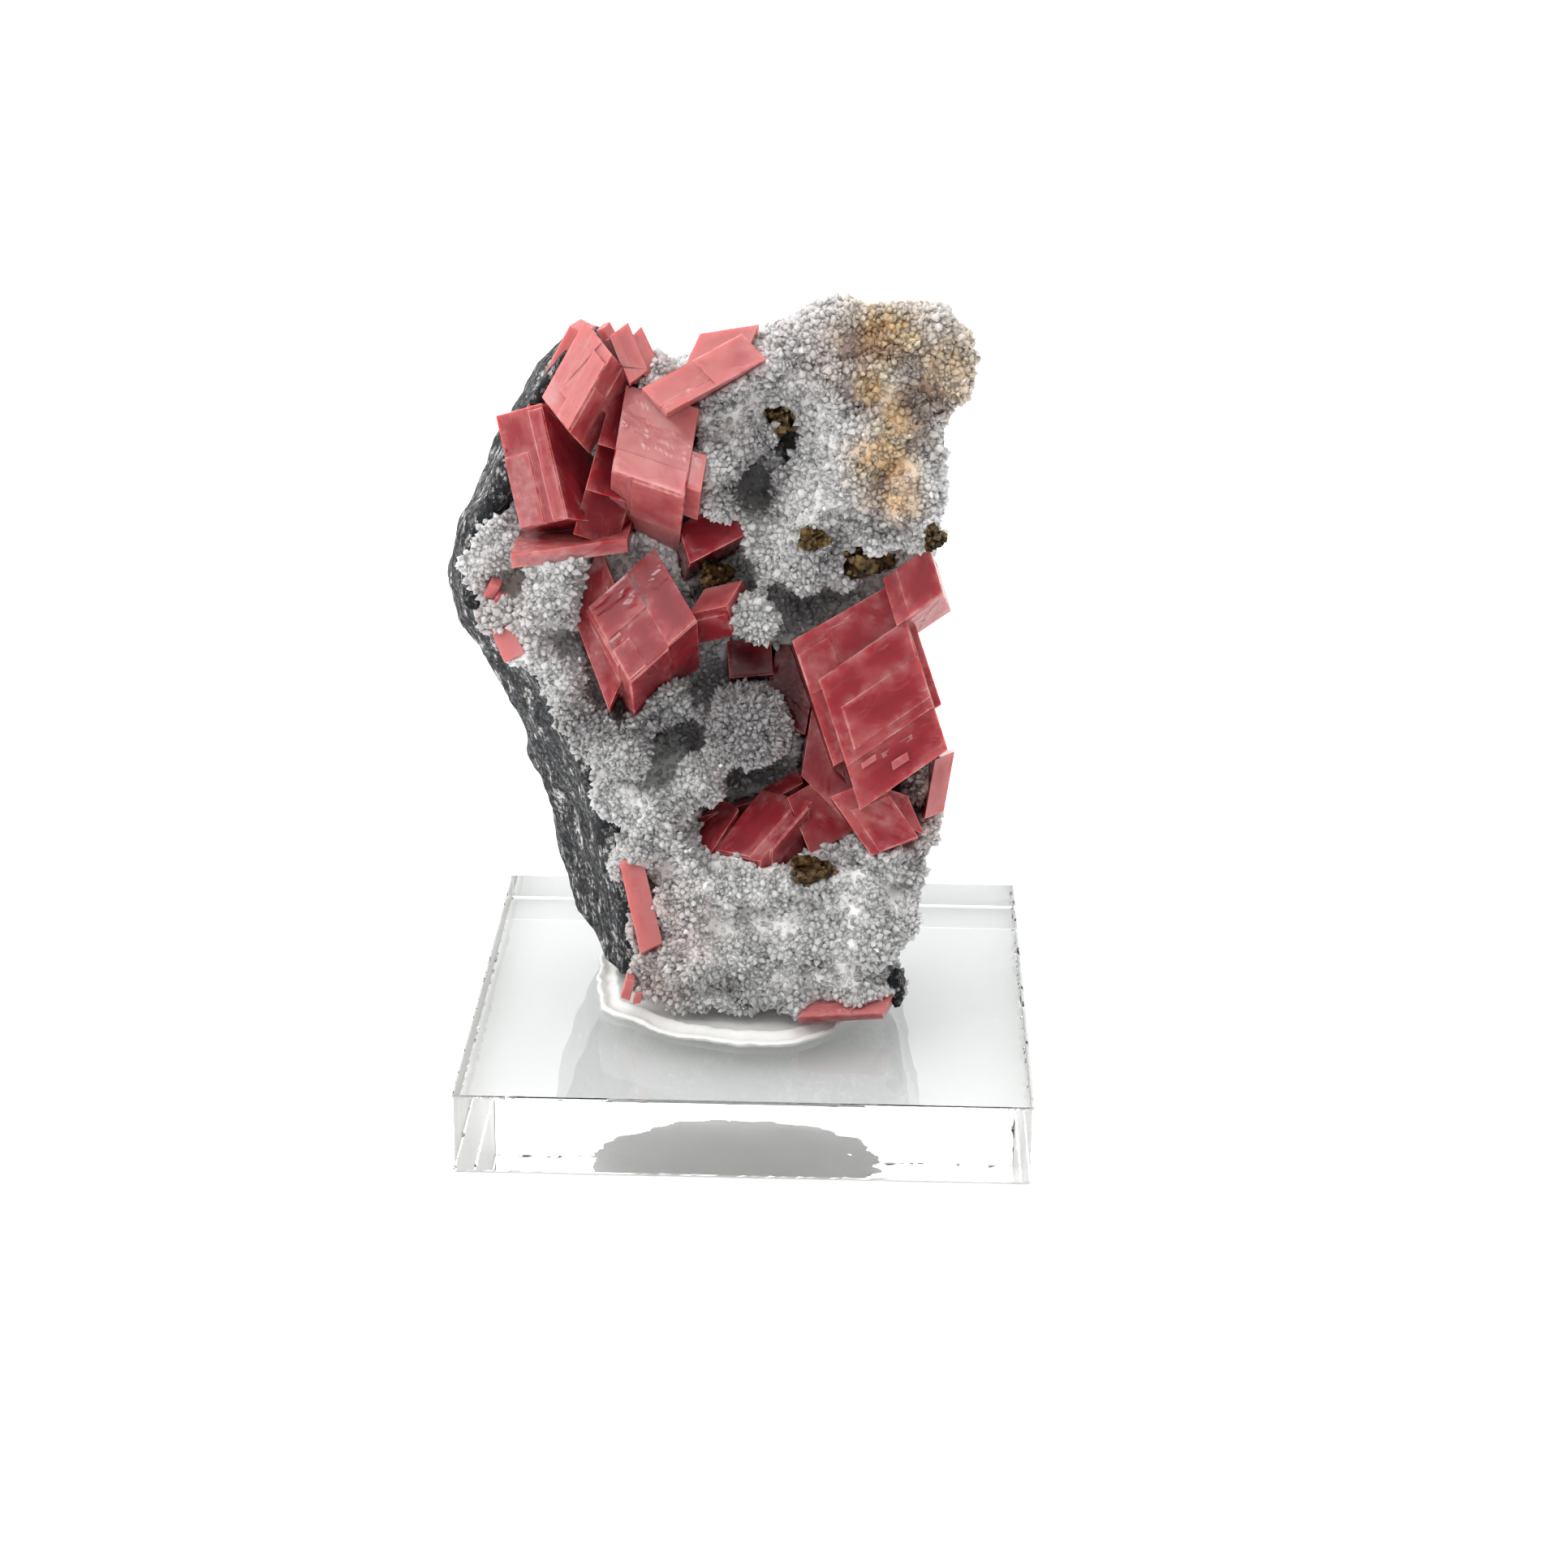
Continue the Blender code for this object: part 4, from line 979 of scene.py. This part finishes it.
def quartz_material(name, grey, white, smoke_and_shade_colour, values):
    """Quartz tinted by the stored iron stain, smoke with painted shade and a painted pink reflection, and
    painted light and shade that make it white on the knobs' crests, grey in the creases and whiter towards
    the needles' tips.
    """
    made, tree, shader = new_material(name, {"IOR": 1.54, "Subsurface Radius": (1.0, 1.0, 1.0), **values})
    iron, smoke_and_painted_shade, painted_pink_reflection, crest, height = (
        put_stored(tree, mask) for mask in ("iron", "smoke_and_painted_shade", "painted_pink_reflection", "crest", "height")
    )
    cloud = put_math(tree, "MULTIPLY", put_mottle(tree, scale=0.2, low=0.38, high=0.60), 0.55)
    # Painted light and shade: whiter on the knobs' crests, greyer down in the creases between them
    painted_knob_light = put(tree, "ShaderNodeMapRange", {
        "Value": crest,
        "From Min": KNOB_SHADED_UP_TO,
        "From Max": KNOB_LIT_FROM,
    }, interpolation_type="SMOOTHSTEP")
    whiteness_and_painted_light = put_math(tree, "ADD", cloud, put_math(tree, "MULTIPLY", painted_knob_light.outputs["Result"], 0.7))
    tint = put_blend(tree, painted_pink_reflection, put_blend(tree, whiteness_and_painted_light, grey, white), REFLECTED_PINK)
    tint = put_blend(tree, smoke_and_painted_shade, tint, smoke_and_shade_colour)
    tint = put_blend(tree, iron, tint, put_blend(tree, whiteness_and_painted_light, BROWN_STAIN, CREAM_STAIN))
    # Painted light: the needles whiten towards their tips
    tint = put_blend(tree, put_math(tree, "MULTIPLY", height, 0.12), tint, PAINTED_TIP_LIGHT)
    tree.links.new(tint, shader.inputs["Base Color"])
    return made, tree, shader


skin_material, skin_tree, skin_shader = quartz_material("quartz skin", SKIN_GREY, SKIN_WHITE, SKIN_SMOKE_AND_SHADE, {
    "Roughness": 0.3,
    "Subsurface Weight": 0.5,
    "Subsurface Scale": 1.5 * MM,
})
put_bump(skin_tree, skin_shader, put_mottle(skin_tree, scale=2.0, low=0.3, high=0.7), 0.5, 0.15)
crust.data.materials.append(skin_material)
normals = read_normals(crust.data)
thin(crust, CRUST_KEPT)
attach(crust, "root")
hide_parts("quartz_crust")

# ---- The quartz points -----------------------------------------------------------------------------
# The needles of the druse: clear six-sided prisms that end in pyramids. They stand on the skin wherever
# nothing is in front of it, and lean and vary in size as they crowd each other.

POINT_SEED = 7
POINT_LENGTH, SHORTEST_POINT = (0.28, 0.56), 0.15
POINT_RADIUS = (0.2, 0.38)
POINT_ROOT = 0.25
# How far the roots stray over the skin, and how much the needles lean
POINT_STRAY, POINT_LEAN = 0.16, 0.39
# How much the needles' size varies from place to place: (strength, size of the patches, octaves), limits
VIGOUR, LEAST_VIGOUR, MOST_VIGOUR = (0.4, 3.5, 2), 0.75, 1.4
# The pyramid's height and the root's width against the needle's radius
PYRAMID, ROOT_FLARE = 1.3, 1.1
# Where needles stand: this far from other pieces, or with this much room ahead, and above the foot
POINT_ROOM, LOOK_AHEAD, ROOM_AHEAD, POINT_FOOT = 0.48, 0.6, 0.54, 0.3
MOST_POINTS_A_PIECE = 11000
CORNERS_A_POINT = 13
# How far up the needle each of its corners is: root ring, shoulder ring and tip; it whitens the tips as
# painted light
CORNER_HEIGHTS_FOR_TIP_LIGHT = [0.0] * 6 + [0.6] * 6 + [1.0]
# A needle that points up more than this takes its sides' directions from the x axis and not from the z axis
UPRIGHT = 0.8

point_material, _, _ = quartz_material("quartz point", POINT_GREY, POINT_WHITE, POINT_SMOKE_AND_SHADE, {
    "Roughness": 0.2,
    "Transmission Weight": 0.4,
    "Subsurface Weight": 0.9,
    "Subsurface Scale": 1.0 * MM,
})
free = (room > POINT_ROOM) | (room_around(points + LOOK_AHEAD * normals) > ROOM_AHEAD)
free &= points[:, 2] > crust_foot + POINT_FOOT
roots, outward = points[free], normals[free]
rng = np.random.default_rng(POINT_SEED)
roots = roots + rng.normal(0, POINT_STRAY, roots.shape)
axes = outward + POINT_LEAN * rng.normal(0, 1, outward.shape)
axes /= np.linalg.norm(axes, axis=1)[:, None]
vigour = np.clip(1.0 + relief(roots, VIGOUR), LEAST_VIGOUR, MOST_VIGOUR)
lengths = rng.uniform(*POINT_LENGTH, len(roots)) * vigour
radii = rng.uniform(*POINT_RADIUS, len(roots)) * vigour
turns = rng.uniform(0, math.tau / 6, len(roots))
for i in range(len(roots)):
    hit = neighbours.ray_cast(Vector(roots[i]) * MM, Vector(axes[i]), lengths[i] * MM)
    if hit[0] is not None:
        lengths[i] = max(SHORTEST_POINT, hit[3] / MM)


def points_mesh(name, roots, axes, lengths, radii, turns):
    """Six-sided prisms that end in pyramids, all in one mesh: 18 triangles each."""
    count = len(roots)
    x_axis, z_axis = np.array([[1.0, 0.0, 0.0]]), np.array([[0.0, 0.0, 1.0]])
    helper = np.where(np.abs(axes[:, 2:3]) < UPRIGHT, z_axis, x_axis)
    across = np.cross(axes, helper)
    across /= np.linalg.norm(across, axis=1)[:, None]
    along = np.cross(axes, across)
    corners = np.empty((count, CORNERS_A_POINT, 3))
    shoulder = np.maximum(lengths - radii * PYRAMID, -POINT_ROOT / 2)
    for side in range(6):
        angle = turns + side * math.tau / 6
        ring = across * np.cos(angle)[:, None] + along * np.sin(angle)[:, None]
        corners[:, side] = roots + ring * radii[:, None] * ROOT_FLARE - axes * POINT_ROOT
        corners[:, 6 + side] = roots + ring * radii[:, None] + axes * shoulder[:, None]
    corners[:, 12] = roots + axes * lengths[:, None]
    faces = []
    for side in range(6):
        after = (side + 1) % 6
        faces += [(side, after, 6 + after), (side, 6 + after, 6 + side), (6 + side, 6 + after, 12)]
    faces = np.arange(count)[:, None, None] * CORNERS_A_POINT + np.array(faces)[None]
    mesh = bpy.data.meshes.new(name)
    mesh.from_pydata((corners.reshape(-1, 3) * MM).tolist(), [], faces.reshape(-1, 3).tolist())
    return mesh


order = np.argsort(roots[:, 2])
for number, start in enumerate(range(0, len(roots), MOST_POINTS_A_PIECE)):
    some = order[start:start + MOST_POINTS_A_PIECE]
    name = f"quartz_points_{number + 1}"
    mesh = points_mesh(name, roots[some], axes[some], lengths[some], radii[some], turns[some])
    for mask, values in stains_and_painted_light.items():
        store(mesh, mask, np.repeat(values[free][some], CORNERS_A_POINT))
    store(mesh, "height", np.tile(CORNER_HEIGHTS_FOR_TIP_LIGHT, len(some)))
    mesh.materials.append(point_material)
    druse = add_object(name, mesh)
    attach(druse, "root")

# ---- The rock that shows through the crust ----------------------------------------------------------
# A chip of the host rock at the lower right, where the crust didn't close over it. It is the same dark
# banded rock, and it sits in the crust's edge.

SHOWING_PLACE, SHOWING_SIZE = (13.2, -9.7, 11.5), (0.8, 0.95, 1.7)
SHOWING_ROUGHNESS, SHOWING_REPEATS, SHOWING_LAYERS = 0.35, 1.7, 4

bm = bmesh.new()
bmesh.ops.create_icosphere(bm, subdivisions=4, radius=1.0)
for vert in bm.verts:
    crumbs = noise.fractal(vert.co * SHOWING_REPEATS, LAYER_FADE, LAYER_STEP, SHOWING_LAYERS)
    rough = 1.0 + SHOWING_ROUGHNESS * crumbs
    vert.co = Vector([(SHOWING_PLACE[i] + vert.co[i] * SHOWING_SIZE[i] * rough) * MM for i in range(3)])
showing = add_solid("rock_showing", bm)
showing.data.materials.append(stone)
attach(showing, "root")

# ---- The metallic grains ---------------------------------------------------------------------------
# Small clusters of brown sulphide crystals, bright on their flat faces and tarnished between them. Each
# cluster is a knot of small cubes that grew into each other on the crust.

GRAIN_SEED = 3
CUBES_A_CLUSTER = 70
CUBE_SIDE = (0.22, 0.62)
CUBE_SINK = 0.2
TARNISH, BRONZE = (0.012, 0.009, 0.006), (0.15, 0.09, 0.03)

metal, metal_tree, metal_shader = new_material("tarnished sulphide", {"Metallic": 0.7, "Roughness": 0.3})
metal_tint = put_blend(metal_tree, put_mottle(metal_tree, scale=1.5, low=0.4, high=0.6), TARNISH, BRONZE)
metal_tree.links.new(metal_tint, metal_shader.inputs["Base Color"])
rng = np.random.default_rng(GRAIN_SEED)
for node in sorted(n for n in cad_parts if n.startswith("grains")):
    cluster = copy_of_node(node, node + "_cubes")
    cluster.data.materials.clear()
    cluster.data.materials.append(metal)
    bm = bmesh.new()
    bm.from_mesh(cluster.data)
    faces = list(bm.faces)
    areas = np.array([f.calc_area() for f in faces])
    for chosen in rng.choice(len(faces), CUBES_A_CLUSTER, p=areas / areas.sum()):
        corners = [v.co for v in faces[chosen].verts]
        shares = rng.dirichlet([1.0] * len(corners))
        spot = sum((corner * float(share) for corner, share in zip(corners, shares)), Vector())
        turn = Matrix.Rotation(rng.uniform(0, math.tau), 4, Vector(rng.normal(size=3).tolist()))
        side = rng.uniform(*CUBE_SIDE) * MM
        place = Matrix.Translation(spot - faces[chosen].normal * side * CUBE_SINK) @ turn
        bmesh.ops.create_cube(bm, size=side, matrix=place)
        bm.faces.ensure_lookup_table()
    bm.to_mesh(cluster.data)
    bm.free()
    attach(cluster, "root")
    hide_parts(node)
